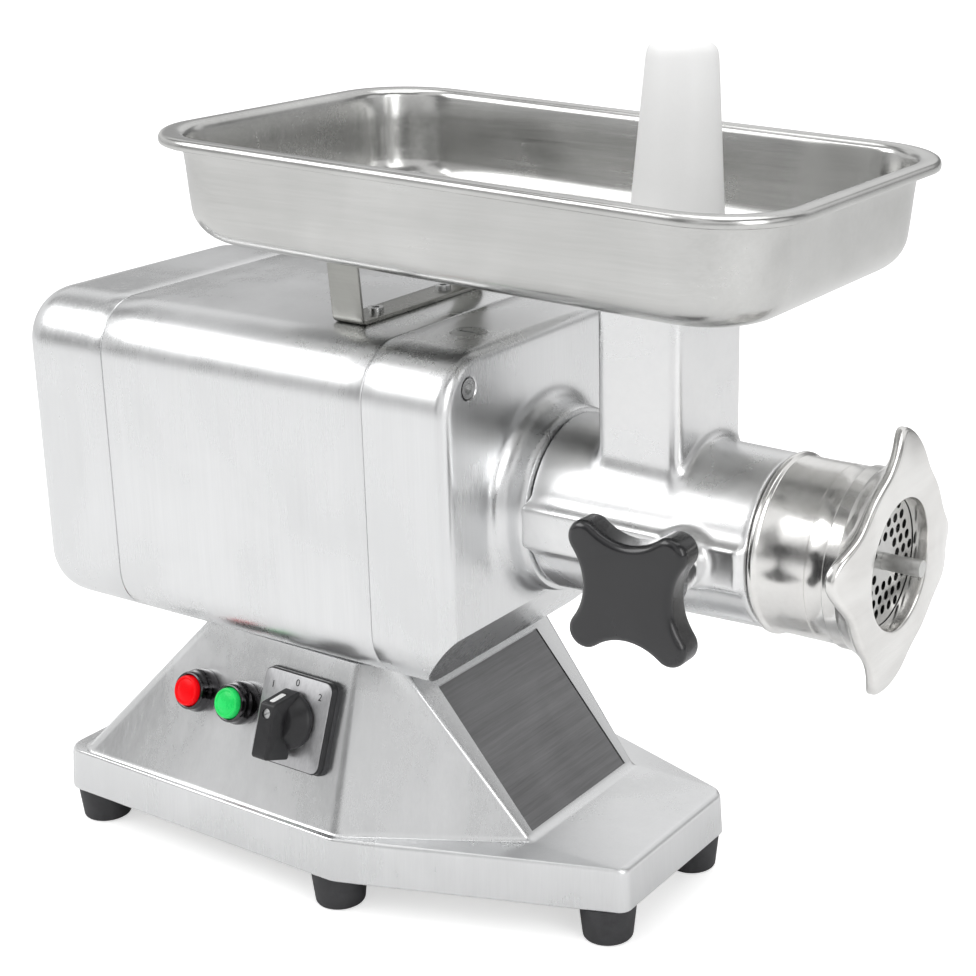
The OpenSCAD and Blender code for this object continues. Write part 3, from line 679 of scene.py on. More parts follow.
@dataclass
class Workshop:
    """Puts surfaces and CAD nodes into the scene with their finish.

    Args:
        effects: the shared shader groups.
        node_slot: material slot of each CAD node, from the record.
        node_body: body of each CAD node.
    """

    effects: Effects
    node_slot: dict
    node_body: dict

    def piece(
        self,
        name: str,
        surface: Surface,
        node: str,
        slot: str | None = None,
        replaces: bool = True,
        sharp: float = 32.0,
    ) -> bpy.types.Object:
        """Makes a piece that rides with a CAD node's body.

        Args:
            name: the piece's name.
            surface: its shape, in mm.
            node: the CAD node whose body it rides on.
            slot: its material slot; the node's own where none is given.
            replaces: whether the node is hidden and this stands for it.
            sharp: edges that turn more than this, in degrees, stay sharp.
        Returns:
            the object.
        """
        slot = slot or self.node_slot[node]
        out = surface.facing_out()
        mesh = bpy.data.meshes.new(name)
        mesh.from_pydata((out.points * MM).tolist(), [], out.faces)
        mesh.polygons.foreach_set("use_smooth", np.ones(len(mesh.polygons), bool))
        mesh.set_sharp_from_angle(angle=math.radians(sharp))
        mesh.materials.append(FINISHES[slot].material(self.effects))
        mesh.update()
        obj = bpy.data.objects.new(name, mesh)
        bpy.context.scene.collection.objects.link(obj)
        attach(obj, self.node_body[node])
        if replaces:
            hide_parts(node)
        log.info("piece %s: %d points, %d faces", name, len(out.points), len(out.faces))
        return obj

    def dress_cad(self) -> None:
        """Gives every CAD node that is still shown its finish."""
        for name, obj in frame["nodes"].items():
            if obj.hide_render:
                continue
            obj.data.materials.clear()
            obj.data.materials.append(FINISHES[self.node_slot[name]].material(self.effects))
            log.info("CAD node %s kept with finish %s", name, self.node_slot[name])

    def cut(self, obj: bpy.types.Object, tool: Surface, name: str, sharp: float = 32.0) -> None:
        """Cuts a closed tool shape out of a piece for good.

        Args:
            obj: the piece.
            tool: the shape to take away, in mm.
            name: name of the cutting step.
            sharp: edges that turn more than this, in degrees, stay sharp.
        """
        out = tool.facing_out()
        mesh = bpy.data.meshes.new(name)
        mesh.from_pydata((out.points * MM).tolist(), [], out.faces)
        mesh.update()
        cutter = bpy.data.objects.new(name, mesh)
        bpy.context.scene.collection.objects.link(cutter)
        mod = obj.modifiers.new(name, "BOOLEAN")
        mod.operation, mod.solver, mod.object = "DIFFERENCE", "EXACT", cutter
        bpy.context.view_layer.update()
        done = bpy.data.meshes.new_from_object(obj.evaluated_get(bpy.context.evaluated_depsgraph_get()))
        obj.modifiers.clear()
        obj.data = done
        done.polygons.foreach_set("use_smooth", np.ones(len(done.polygons), bool))
        done.set_sharp_from_angle(angle=math.radians(sharp))
        bpy.data.objects.remove(cutter)


# ---------------------------------------------------------------- base


@dataclass
class Base:
    """The cast foot plate with its pedestal and feet."""

    plate: tuple = ((-228.0, 94.0), (-32.0, 100.0), (113.0, 49.5))
    foot: tuple = ((-217.0, 91.9), (-32.0, 97.0), (57.0, 50.0))
    seat: tuple = ((-144.0, 63.1), (-38.0, 66.0), (-13.0, 60.0))
    bottom: float = 20.0
    top: float = 44.0
    seat_z: float = 127.0
    edge: float = 3.6
    fillet: float = 2.4
    pocket_half: float = 44.5
    pocket: tuple = (16.5, 104.5)
    pocket_depth: float = 1.5
    feet: tuple = ((-214, 79), (-40, 85), (98, 42))

    def corners(self, stations: tuple) -> np.ndarray:
        """Six corners, anticlockwise from the rear right, of three (x, half width) stations.

        Args:
            stations: rear, middle and front (x, half width).
        Returns:
            the corners.
        """
        s = np.array(stations)
        near = s * [1, -1]
        return np.concatenate([near, s[::-1]])

    def outline(self, corners: np.ndarray, radii: tuple) -> np.ndarray:
        """Rounded outline whose front edge has columns at the pocket's sides.

        Args:
            corners: the six corners.
            radii: corner radii at the rear, the middle and the front.
        Returns:
            the outline's points.
        """
        arc_n, edge_n = 7, 8
        r = np.array([*radii, *radii[::-1]])
        p = rounded_polygon(corners, r, arc_n, edge_n).reshape(6, arc_n + edge_n, 2)
        h = self.pocket_half
        wanted = np.array([-h - 0.1, -h, -h * 0.6, -h * 0.2, h * 0.2, h * 0.6, h, h + 0.1])
        lo, hi = p[2, arc_n - 1], p[3, 0]
        y = np.clip(wanted, lo[1] + 0.1, hi[1] - 0.1)
        p[2, arc_n:] = np.column_stack([np.full(edge_n, lo[0]), y])
        return p.reshape(-1, 2)

    def casting(self) -> Surface:
        """The casting, as rings from its inner roof, round its lower lip and up to the seat.

        The plate's edge is a quarter circle that takes at most 0.45 of the ledge up to the pedestal.
        The pocket moves points of the front slope inwards along its normal.

        Returns:
            the closed surface.
        """
        radii_plate, radii_foot, radii_seat = (12.0, 16.0, 7.0), (10.0, 16.0, 3.0), (8.0, 14.0, 3.0)
        plate = self.corners(self.plate)
        lip = ((4, self.top - 5), (3.4, self.bottom + 0.6), (2.8, self.bottom), (-0.6, self.bottom),
               (-1, self.bottom + 0.5))
        rows = [at_height(self.outline(inset_polygon(plate, d), radii_plate), z) for d, z in lip]
        a = self.outline(plate, radii_plate)
        b = self.outline(self.corners(self.foot), radii_foot)
        t = self.outline(self.corners(self.seat), radii_seat)
        gap = b - a
        width = np.linalg.norm(gap, axis=1)[:, None]
        way = gap / width
        r = np.minimum(self.edge, 0.45 * width)
        for q in np.radians(np.linspace(0, 90, 7)):
            rows.append(at_height(a + way * r * (1 - math.cos(q)), self.top - r[:, 0] * (1 - math.sin(q))))
        f = np.minimum(self.fillet, 0.45 * width)
        for q in np.radians(np.linspace(0, 90, 5)):
            z = self.top + f[:, 0] * (1 - math.cos(q))
            side = b + (t - b) * ((z - self.top) / (self.seat_z - self.top))[:, None]
            rows.append(at_height(side - way * f * (1 - math.sin(q)), z))
        slope = np.array([self.foot[2][0] - self.seat[2][0], 0, self.top - self.seat_z])
        length = np.linalg.norm(slope)
        normal = np.array([-slope[2], 0, slope[0]]) / length
        lo, hi = self.pocket
        for d in (hi, hi - 0.1, 92, 80, 68, 56, 44, 32, lo + 0.1, lo, 9, 2):
            z = self.seat_z - d * (self.seat_z - self.top) / length
            row = at_height(b + (t - b) * (z - self.top) / (self.seat_z - self.top), z)
            if lo < d < hi:
                inner = (np.abs(row[:, 1]) < self.pocket_half + 0.05) & (row[:, 0] > row[:, 0].max() - 0.01)
                row[inner] -= normal * self.pocket_depth
            rows.append(row)
        rows.append(at_height(t, self.seat_z - 0.3))
        rows.append(at_height(shrunk(t, 0.8), self.seat_z))
        return loft(np.stack(rows))

    def foot_shape(self) -> Surface:
        """One rubber foot: a turned plug with a rounded lower edge and a recess for its screw."""
        return turned(
            [(6.5, 6), (0.6, 6), (0, 6.6), (0, 11.2), *arc((1.8, 11.2), 1.8, 180, 90, 5), (10, 13.9),
             (18.6, 14.8), (19.7, 14.6), (20, 14), (20.2, 8)],
            48,
        )

    def build(self, shop: Workshop) -> None:
        """Makes the casting and the feet.

        Args:
            shop: makes the pieces.
        """
        shop.piece("base_body", self.casting(), "base_casting", sharp=38)
        whole = None
        for x, y in self.feet:
            for s in (-1, 1):
                one = self.foot_shape().facing_out().moved(Place((x, s * y, 0)))
                whole = one if whole is None else whole.plus(one)
        shop.piece("rubber_feet", whole, "feet")


# ---------------------------------------------------------------- housing


@dataclass
class Housing:
    """Sleeve, rear cover and gearbox casting on one rounded square section."""

    width: float = 170.0
    height: float = 173.0
    radius: float = 28.5
    mid_z: float = 213.5
    rear: float = -242.0
    seam_rear: float = -181.0
    seam_front: float = -11.0
    front: float = 38.0
    axis_z: float = 213.0
    edge: float = 6.0
    wall: float = 4.0
    cover_round: tuple = (17.0, 20.0, 41.0)
    collar_fillet: float = 9.5
    bevel: tuple = (10.0, 161.0)
    bevel_wall: float = 9.5
    slot: tuple = (4.0, 70.0, 1.9)
    slot_pitch: float = 9.0
    screw_y: float = 65.0
    screw_up: float = 70.0

    def section(self, inset: float, x: float) -> np.ndarray:
        """The housing's section drawn in by inset, as a ring at x."""
        o = rectangle(self.width - 2 * inset, self.height - 2 * inset, max(self.radius - inset, 4), 16, 10)
        return standing(o + [0, self.mid_z], x)

    def circle(self, r: float, x: float) -> np.ndarray:
        """A circle about the auger's axis whose points lie at the same angles as the section's.

        Args:
            r: its radius, in mm.
            x: where it stands, in mm.
        Returns:
            the ring.
        """
        o = rectangle(self.width, self.height, self.radius, 16, 10)
        a = np.arctan2(o[:, 1], o[:, 0])
        return standing(np.stack([r * np.cos(a), self.axis_z + r * np.sin(a)], -1), x)

    def sleeve(self) -> Surface:
        """The sleeve: one closed loop of rings out along the skin and back inside its wall.

        Returns:
            the closed surface.
        """
        lo, hi = self.seam_rear + 0.1, self.seam_front - 0.1
        xs = np.linspace(lo + 0.9, hi - 0.9, 12)
        rear = [(lo, self.wall), (lo, 0.7), (lo + 0.25, 0.25)]
        front = [(hi - 0.25, 0.25), (hi, 0.7), (hi, self.wall)]
        loop = [*rear, *[(x, 0) for x in xs], *front]
        return loft(np.stack([self.section(i, x) for x, i in loop]), wrap=True)

    def rear_cover(self) -> Surface:
        """The rear cover, a hollow loop: its end is inset i (1 - cos a) at d sin a further back.

        Returns:
            the closed surface.
        """
        s, w = self.seam_rear, self.wall
        inset, depth, start = self.cover_round
        rows = [self.section(i, s - x) for i, x in ((w, 0.1), (0.7, 0.1), (0.2, 0.4), (0, 1))]
        rows += [self.section(0, x) for x in np.linspace(s - 10, s - 40, 4)]
        for a in np.radians(np.linspace(5, 90, 15)):
            rows.append(self.section(inset * (1 - math.cos(a)), s - start - depth * math.sin(a)))
        rows += [self.section(i, self.rear) for i in (30, 50, 70)]
        rows += [self.section(i, self.rear + w) for i in (70, 50, 30, 18)]
        for a in np.radians(np.linspace(80, 10, 8)):
            inner = w + (inset - 2) * (1 - math.cos(a))
            rows.append(self.section(inner, s - start - (depth - w) * math.sin(a)))
        return loft(np.stack(rows), wrap=True)

    def rear_plate(self) -> Surface:
        """The middle of the rear wall, a closed slab that fills the opening left by the rings."""
        rows = [self.section(69.9, self.rear), self.section(69.9, self.rear + self.wall)]
        return loft(np.stack(rows))

    def gearbox(self) -> Surface:
        """The gearbox casting: skin, rounded front edge, face, filleted collar, bore and back inside.

        Returns:
            the closed surface.
        """
        s, f, e, c = self.seam_front + 0.1, self.front, self.edge, self.collar_fillet
        rows = [self.section(i, s + x) for i, x in ((self.wall, 0), (0.7, 0), (0.25, 0.25), (0, 0.9))]
        rows += [self.section(0, x) for x in np.linspace(s + 10, f - e, 4)]
        for a in np.radians(np.linspace(10, 90, 9)):
            rows.append(self.section(e * (1 - math.cos(a)), f - e * (1 - math.sin(a))))
        rows += [self.section(i, f) for i in (9, 15, 22)]
        rows += [self.circle(r, f) for r in (60, 58)]
        for a in np.radians(np.linspace(8, 90, 9)):
            rows.append(self.circle(57 - c * math.sin(a), f + c * (1 - math.cos(a))))
        collar = ((47.3, 13), (46.9, 15.6), (46.2, 16.6), (45, 17), (37, 17), (36.1, 16.2), (36.1, 0.8))
        rows += [self.circle(r, f + x) for r, x in (*collar, (26, 0.8), (26, -6))]
        x0, z0 = self.bevel[0], self.mid_z - self.height / 2
        rise = (self.bevel[1] - z0) / (f - x0)
        for inset, x in ((14, f - 6), (10, f - 9), (10, f - 16), (10, x0 + 5), (10, x0), (10, s)):
            row = self.section(inset, x)
            row[:, 2] = np.maximum(row[:, 2], z0 + (x - x0) * rise + self.bevel_wall)
            rows.append(row)
        return loft(np.stack(rows), wrap=True)

    def bevel_block(self) -> Surface:
        """Everything in front of and below the sloping plane under the front face.

        The plane runs from (bevel x, bottom) to (front, bevel z); the block goes 20 mm further down along it.

        Returns:
            the closed block.
        """
        x0, z1 = self.bevel
        z0 = self.mid_z - self.height / 2
        run = (self.front - x0) / (z1 - z0)
        low, ahead = z0 - 20, self.front + 30
        side = np.array([[x0 - 20 * run, low], [ahead, low], [ahead, z1], [self.front, z1]])
        rows = [np.column_stack([side[:, 0], np.full(4, y), side[:, 1]]) for y in (-100.0, 100.0)]
        return loft(np.stack(rows))

    def build(self, shop: Workshop) -> None:
        """Makes the three housing pieces and cuts their vents, recesses and bevel.

        Args:
            shop: makes and cuts the pieces.
        """
        shop.piece("housing_sleeve", self.sleeve(), "body_shell", sharp=40)
        rear = shop.piece("rear_hood", self.rear_cover(), "rear_cover", sharp=40)
        gear = shop.piece("gearbox_front", self.gearbox(), "gearbox_casting", sharp=40)
        mid = shop.piece("rear_hood_middle", self.rear_plate(), "rear_cover", replaces=False)
        tool = None
        for k in range(-5, 6):
            hole = rectangle(*self.slot, 5, 2) + [self.slot_pitch * k, self.axis_z]
            one = loft(np.stack([standing(hole, x) for x in (self.rear - 2, self.rear + 6)])).facing_out()
            tool = one if tool is None else tool.plus(one)
        shop.cut(rear, tool, "vent_slots")
        shop.cut(mid, tool, "vent_slots_middle")
        tool = turned([(297.5, 9.1), (299.6, 9.1), (301, 10.5)], 40).moved(Place((13, -30, 0))).facing_out()
        for y in (-self.screw_y, self.screw_y):
            dent = turned([(self.front - 3.5, 5.7), (self.front - 0.5, 5.7), (self.front + 1, 7.2)], 32)
            tool = tool.plus(dent.moved(along_x(y, self.mid_z + self.screw_up)).facing_out())
        shop.cut(gear, tool, "screw_recesses")
        shop.cut(gear, self.bevel_block(), "front_bevel")


@dataclass
class TrayBracket:
    """The bent strip that carries the back of the tray."""

    x: tuple = (-55.0, -36.0)
    half: float = 50.0
    low: float = 300.0
    high: float = 337.3
    thick: float = 2.0
    bend: float = 3.5
    tab: float = 13.0

    def strip(self) -> Surface:
        """A 19 mm wide strip along a bent path: section (x, normal) carried along the path's points.

        Returns:
            the closed surface.
        """
        t = self.thick / 2
        lean = 3.0
        up, down = self.high - t, self.low + t
        right = [(self.half - t, down), (self.half + lean - t, up), (self.half - self.tab, up)]
        path = np.array([(-y, z) for y, z in right[::-1]] + right)
        points = [path[0]]
        for before, at, after in zip(path[:-2], path[1:-1], path[2:]):
            u, w = (at - before) / np.linalg.norm(at - before), (after - at) / np.linalg.norm(after - at)
            turn = math.acos(float(np.clip(u @ w, -1, 1)))
            cut = self.bend * math.tan(turn / 2)
            s = np.linspace(0, 1, 9)[:, None]
            points += list((at - u * cut) * (1 - s) ** 2 + 2 * at * s * (1 - s) + (at + w * cut) * s**2)
        points.append(path[-1])
        p = np.array(points)
        d = np.gradient(p, axis=0)
        d /= np.linalg.norm(d, axis=1)[:, None]
        n = np.stack([-d[:, 1], d[:, 0]], 1)
        o = rectangle(self.x[1] - self.x[0], self.thick, 0.6, 4, 3)
        mid = sum(self.x) / 2
        rows = [np.column_stack([mid + o[:, 0], p[i] + np.outer(o[:, 1], n[i])]) for i in range(len(p))]
        return loft(np.stack(rows))

    def build(self, shop: Workshop) -> None:
        """Makes the bracket."""
        shop.piece("tray_strip_bracket", self.strip(), "tray_bracket", slot="sheet_steel")


# ---------------------------------------------------------------- controls


@dataclass
class ControlPanel:
    """Push buttons and rotary switch on the sloping side of the pedestal."""

    corner: tuple = (-32.0, -97.0, 44.0)
    yaw: float = math.atan(5.1 / 185)
    run: tuple = (6.0, 31.0)
    rise: float = 83.0
    v: float = 52.0
    red_u: float = -104.0
    green_u: float = -75.0
    switch_u: float = -36.0

    def spot(self, u: float, v: float) -> Place:
        """The place at (u, v) on the panel, its third axis out of the panel.

        Args:
            u, v: distances along the panel and up it, in mm.
        Returns:
            the place.
        """
        t = math.atan((self.run[1] * math.cos(self.yaw) - self.run[0] * math.sin(self.yaw)) / self.rise)
        x = np.array([math.cos(self.yaw), -math.sin(self.yaw), 0])
        y = np.array([math.sin(t) * math.sin(self.yaw), math.sin(t) * math.cos(self.yaw), math.cos(t)])
        z = np.cross(x, y)
        return Place(tuple(np.array(self.corner) + u * x + v * y), tuple(x), tuple(y), tuple(z))

    def collar(self) -> Surface:
        """The button's bezel: a turned ring with a rounded shoulder."""
        loop = [(0.1, 8.4), (0.1, 11.0), (0.4, 11.4), (1.6, 11.5), (5.2, 11.5), (6.2, 11.2), (7, 10.6),
                (9, 10.3), (11.2, 10.1), (12, 9.6), (12.2, 9), (12, 8.5), (11.6, 8.35)]
        return turned(loop, 64, wrap=True)

    def lens(self) -> Surface:
        """The button's lens: a turned cap with a raised rim, a groove and a low dome."""
        return turned(
            [(5, 7.4), (5, 8), (12.6, 8.05), (13.4, 8.0), (14.2, 7.6), (14.5, 7.0), (14.4, 6.5),
             (14.0, 6.2), (14.1, 5.8), (14.4, 5.0), (14.7, 3.4), (14.85, 1.6)],
            64,
        )

    def plate(self, w: float, h: float, r: float, lo: float, hi: float, edge: float) -> Surface:
        """A rounded square slab between two heights with a rounded upper edge.

        Args:
            w, h, r: its width, height and corner radius, in mm.
            lo, hi: the heights of its faces, in mm.
            edge: the radius of its upper edge, in mm.
        Returns:
            the closed surface.
        """
        rows = [at_height(rectangle(w, h, r), lo)]
        for a in np.radians((0, 30, 60, 90)):
            d = edge * (1 - math.cos(a))
            rows.append(at_height(rectangle(w - 2 * d, h - 2 * d, r - d), hi - edge * (1 - math.sin(a))))
        return loft(np.stack(rows))

    def handle(self) -> Surface:
        """The handle: a turned skirt and a bar, the bar an outline carried sideways with drawn-in ends.

        Returns:
            the closed surface.
        """
        profile = [(6.9, 14.4), (7.2, 14.9), (9.6, 15), (10.4, 14.6), (11, 13.8), (16.4, 9.4), (16.9, 8.4)]
        skirt = turned(profile, 64)
        side = np.array([[-19.5, 9.0], [16, 9.0], [16, 10.5], [9, 27], [-19.5, 27]])
        radii = np.array([1.2, 0.6, 1.6, 1.8, 2.2])
        rows = []
        for u, d in ((-5, 0.9), (-4.75, 0.35), (-4.2, 0), (4.2, 0), (4.75, 0.35), (5, 0.9)):
            o = rounded_polygon(inset_polygon(side, d), np.maximum(radii - d * 0.5, 0.3), 6, 4)
            rows.append(np.column_stack([np.full(len(o), u), o]))
        return skirt.facing_out().plus(loft(np.stack(rows)).facing_out())

    def stripe(self) -> Surface:
        """The pale pointer stripe: a thin slab laid on the bar's sloping end.

        Returns:
            the closed surface.
        """
        down = np.array([0, 7, -16.5])
        down = down / np.linalg.norm(down)
        out = np.cross([1, 0, 0], down)
        out = out if out[2] > 0 else -out
        start = np.array([0, 9.4, 26.06]) + down * 6.5 - out * 0.1
        slab = self.plate(3.0, 9.5, 0.8, 0, 0.4, 0.15)
        return slab.moved(Place(tuple(start), (1, 0, 0), tuple(down), tuple(out)))

    def digit(self, text: str, size: float) -> Surface:
        """A dial number as a thin raised mesh.

        Args:
            text: the number.
            size: its height, in mm.
        Returns:
            the closed surface.
        """
        curve = bpy.data.curves.new("dial_number_curve", "FONT")
        curve.body, curve.size, curve.extrude = text, size, 0.06
        curve.align_x, curve.align_y = "CENTER", "CENTER"
        obj = bpy.data.objects.new("dial_number_text", curve)
        bpy.context.scene.collection.objects.link(obj)
        bpy.context.view_layer.update()
        mesh = bpy.data.meshes.new_from_object(obj.evaluated_get(bpy.context.evaluated_depsgraph_get()))
        co = np.zeros(len(mesh.vertices) * 3, np.float32)
        mesh.vertices.foreach_get("co", co)
        faces = [list(p.vertices) for p in mesh.polygons]
        bpy.data.objects.remove(obj)
        return Surface(co.reshape(-1, 3).astype(float), faces)

    def build(self, shop: Workshop) -> None:
        """Makes the bezels, lenses, switch plates, handle and dial numbers.

        Args:
            shop: makes and cuts the pieces.
        """
        for colour, u in (("red", self.red_u), ("green", self.green_u)):
            shop.piece(f"{colour}_bezel", self.collar().moved(self.spot(u, self.v)), f"{colour}_collar")
            shop.piece(f"{colour}_lens_cap", self.lens().moved(self.spot(u, self.v)), f"{colour}_button")
        at = self.spot(self.switch_u, self.v)
        gasket = self.plate(47.4, 49.4, 4.5, 0.05, 2.45, 0.5)
        shop.piece("switch_grey_gasket", gasket.moved(at), "switch_gasket", slot="foot_rubber")
        shop.piece("switch_black_frame", self.plate(46.4, 48.4, 5, 2.5, 6.1, 0.8).moved(at), "switch_body")
        shop.piece("switch_face_plate", self.plate(45, 47, 4.4, 5.9, 6.65, 0.2).moved(at), "switch_plate")
        handle = shop.piece("switch_lever", self.handle().moved(at), "switch_handle")
        hole = turned([(21.8, 2.7), (28, 2.7)], 32).moved(Place((0, 4, 0))).moved(at)
        shop.cut(handle, hole, "lever_screw_hole")
        stripe = self.stripe().moved(at)
        shop.piece("switch_lever_stripe", stripe, "switch_handle", slot="white_plastic", replaces=False)
        marks = None
        for text, u, v in (("1", -16, 15.5), ("0", 0, 19.5), ("2", 16, 15.5)):
            one = self.digit(text, 5.2).moved(Place((u, v, 6.68)))
            marks = one if marks is None else marks.plus(one)
        shop.piece("dial_numbers", marks.moved(at), "switch_plate", slot="black_plastic", replaces=False)


# ---------------------------------------------------------------- grinding head


@dataclass
class GrindingHead:
    """The cast barrel with its feed neck and clamp boss, the ring nut and the clamp knob."""

    axis_z: float = 213.0
    barrel: tuple = (55.6, 173.0)
    barrel_r: float = 44.5
    barrel_taper: float = 2.5 / 117.4
    bore_r: float = 31.0
    neck_x: float = 108.5
    neck: tuple = (45.0, 62.0)
    knob_x: float = 143.0
    knob_face: float = -98.0
    step: float = 1.25
    nose: float = 232.0
    lobe_angle: float = 80.0
    lobe_at: float = 31.0
    lobe_r: float = 8.5
    hollow_r: float = 23.0

    def casting(self) -> Surface:
        """The head casting as the zero level of a distance field.

        Barrel, neck, side lug and boss are joined with fillets by blend_min.
        Bores and throat are cut with small rounds by blend_max.

        Returns:
            the closed surface.
        """
        low, high = np.array([35.0, -60.0, 164.0]), np.array([224.0, 48.0, 345.0])
        axes = [np.arange(a, b, self.step, dtype=np.float32) for a, b in zip(low, high)]
        x, y, z = np.meshgrid(*axes, indexing="ij")
        zc = z - self.axis_z
        rad = np.sqrt(y * y + zc * zc)
        start, end = self.barrel
        taper = self.barrel_r - (x - start) * self.barrel_taper
        barrel = blend_max(rad - taper, np.maximum(start - x, x - end), 2.0)
        lw, ly = self.neck[0] / 2, self.neck[1] / 2
        neck = box_field([x, y, z], (self.neck_x, 0, 270), (lw, ly, 63.4), 5.0)
        neck = np.maximum(neck, np.maximum(self.axis_z - z, z - 333.4))
        body = blend_min(barrel, neck, 7.0)
        lug = box_field([x, y, z], (111.7, -30, 212), (58.8, 16, 10), 1.6)
        body = blend_min(body, lug, 7.0)
        boss = rod_field(-y, np.sqrt((x - self.knob_x) ** 2 + zc**2), 30, 56, 13.0)
        body = blend_min(body, boss, 5.0)
        collar = box_field([x, y, z], (self.neck_x, 0, 330), (lw - 2.5, ly - 2.5, 11), 6.0)
        seat = rod_field(x, rad, 172, 220, 38.0)
        spigot = rod_field(x, rad, 38.6, 58, 35.98)
        body = np.minimum(np.minimum(body, collar), np.minimum(seat, spigot))
        bore = rod_field(x, rad, 53, 230, self.bore_r)
        for lo, hi, r in ((203, 230, 33.0), (213, 230, 35.1), (20, 54, 19.1), (20, 44, self.bore_r)):
            bore = np.minimum(bore, rod_field(x, rad, lo, hi, r))
        throat = box_field([x, y, z], (self.neck_x, 0, 300), (lw - 4, ly - 6, 82), 7.5)
        bore = np.minimum(bore, throat)
        screw = rod_field(-y, np.sqrt((x - self.knob_x) ** 2 + zc**2), 37, 70, 5.3)
        return level_surface(blend_max(body, -np.minimum(bore, screw), 1.2), low, self.step)

    def lobes(self, angle: np.ndarray, start: float, power: float) -> np.ndarray:
        """Height of four lobes round a circle: ((1 + cos 4(a - start)) / 2) ^ power."""
        return ((1 + np.cos(4 * (angle - math.radians(start)))) / 2) ** power

    def ring_nut(self) -> Surface:
        """The ring nut: a turned loop whose flange radius follows four lobes, their tips swept back.

        Returns:
            the closed surface.
        """
        a = np.linspace(0, 2 * math.pi, 240, endpoint=False)
        wing = self.lobes(a, self.lobe_angle, 2.6)
        edge = circle(1.0, a) * (48 + 15 * wing)[:, None]
        n = self.nose
        rear_bead = [(174.6, 38.6), (174.4, 39.2), (174.4, 42.4), (174.8, 43.1), (175.6, 43.6),
                     (176.9, 43.6), (177.8, 43.2), (178.4, 42.3)]
        plain = [(179, 42), (190, 42), (202.7, 42), (202.9, 41.7), (203.2, 41.7), (203.4, 42), (211.6, 42)]
        front_bead = [(211.9, 42.2), (212.2, 42.9), (212.8, 43.2), (218.6, 43.2), (219.2, 43.6)]
        rows = [(circle(r, a), x) for x, r in rear_bead + plain + front_bead]
        for share, x in ((0.1, 221.6), (0.3, 223.4), (0.55, 225.2), (0.8, 226.4)):
            rows.append((circle(44.2, a) * (1 - share) + shrunk(edge, 1.2) * share, x))
        rim_back = [(1.2, 5.1), (0.5, 4.8), (0.1, 4.2), (0, 3.4)]
        rim_front = [(0, 1.8), (0.15, 1.1), (0.5, 0.5), (1.1, 0.1), (1.9, 0)]
        rows += [(shrunk(edge, d), n - x) for d, x in rim_back + rim_front]
        for share in (0.2, 0.5, 0.8, 1.0):
            rows.append((shrunk(edge, 1.9) * (1 - share) + circle(33, a) * share, n))
        opening = [(n - 0.15, 32), (n - 0.6, 31.3), (n - 1.5, 31), (223.4, 31)]
        seat = [(223.3, 35.6), (220.6, 35.6), (220.5, 38.1), (175.2, 38.1)]
        rows += [(circle(r, a), x) for x, r in opening + seat]
        points = []
        for xy, x in rows:
            r = np.linalg.norm(xy, axis=1)
            back = 4.5 * wing * np.clip((r - 44) / 19, 0, 1) ** 1.6
            points.append(np.column_stack([xy, np.full(len(xy), x) - back]))
        return loft(np.stack(points), wrap=True).moved(along_x(0, self.axis_z))

    def knob_radius(self, angle: np.ndarray) -> np.ndarray:
        """Radius of the knob's outline: four lobe arcs joined by hollow arcs that touch them.

        t is the angle from the nearest hollow; lobe arcs have their centres at L and the radius l.
        Hollow arcs have their centres at D and the radius q, so the outline's least radius is h = D - q.
        In a hollow r = D cos t - sqrt(q^2 - D^2 sin^2 t).
        Past it r = L cos(45 - t) + sqrt(l^2 - L^2 sin^2(45 - t)).
        The arcs touch where D = (L^2 - (l - h)^2) / (2 L cos 45 + 2 (l - h)).

        Args:
            angle: angles round the knob, in radians.
        Returns:
            the radius at each angle, in mm.
        """
        big, small, hollow = self.lobe_at, self.lobe_r, self.hollow_r
        d = (big**2 - (small - hollow) ** 2) / (2 * big * math.cos(math.pi / 4) + 2 * (small - hollow))
        q = d - hollow
        t = np.abs((angle + math.pi / 4) % (math.pi / 2) - math.pi / 4)
        touch = math.atan2(q * big * math.sin(math.pi / 4),
                           d * (q + small) - q * (d - big * math.cos(math.pi / 4)))
        inner = d * np.cos(t) - np.sqrt(np.maximum(q**2 - (d * np.sin(t)) ** 2, 0))
        u = math.pi / 4 - t
        outer = big * np.cos(u) + np.sqrt(np.maximum(small**2 - (big * np.sin(u)) ** 2, 0))
        return np.where(t < touch, inner, outer)

    def knob(self) -> Surface:
        """The clamp knob: four rounded lobes on a turned hub, with a bore at the back for the screw.

        Returns:
            the closed surface.
        """
        a = np.linspace(0, 2 * math.pi, 240, endpoint=False)
        edge = circle(1.0, a) * self.knob_radius(a)[:, None]
        hub = ((5.2, 22), (5.2, 0.6), (6, 0), (14.8, 0), (15.8, 0.6), (16.2, 1.6), (17.2, 8), (18.2, 12.4))
        rows = [at_height(circle(r, a), h) for r, h in hub]
        for share, h in ((0.25, 13.9), (0.6, 14.4)):
            rows.append(at_height(circle(18.9, a) * (1 - share) + shrunk(edge, 3) * share, h))
        for q in np.radians(np.linspace(-90, 0, 7)):
            rows.append(at_height(shrunk(edge, 3 * (1 - math.cos(q))), 17.6 + 3 * math.sin(q)))
        for q in np.radians(np.linspace(0, 90, 9)):
            rows.append(at_height(shrunk(edge, 3.8 * (1 - math.cos(q))), 26.0 + 3.8 * math.sin(q)))
        rows += [at_height(shrunk(edge, 3.8) * s, h) for s, h in ((0.85, 29.9), (0.6, 30), (0.3, 30))]
        place = Place((self.knob_x, self.knob_face + 30, self.axis_z), (1, 0, 0), (0, 0, 1), (0, -1, 0))
        return loft(np.stack(rows)).moved(place)

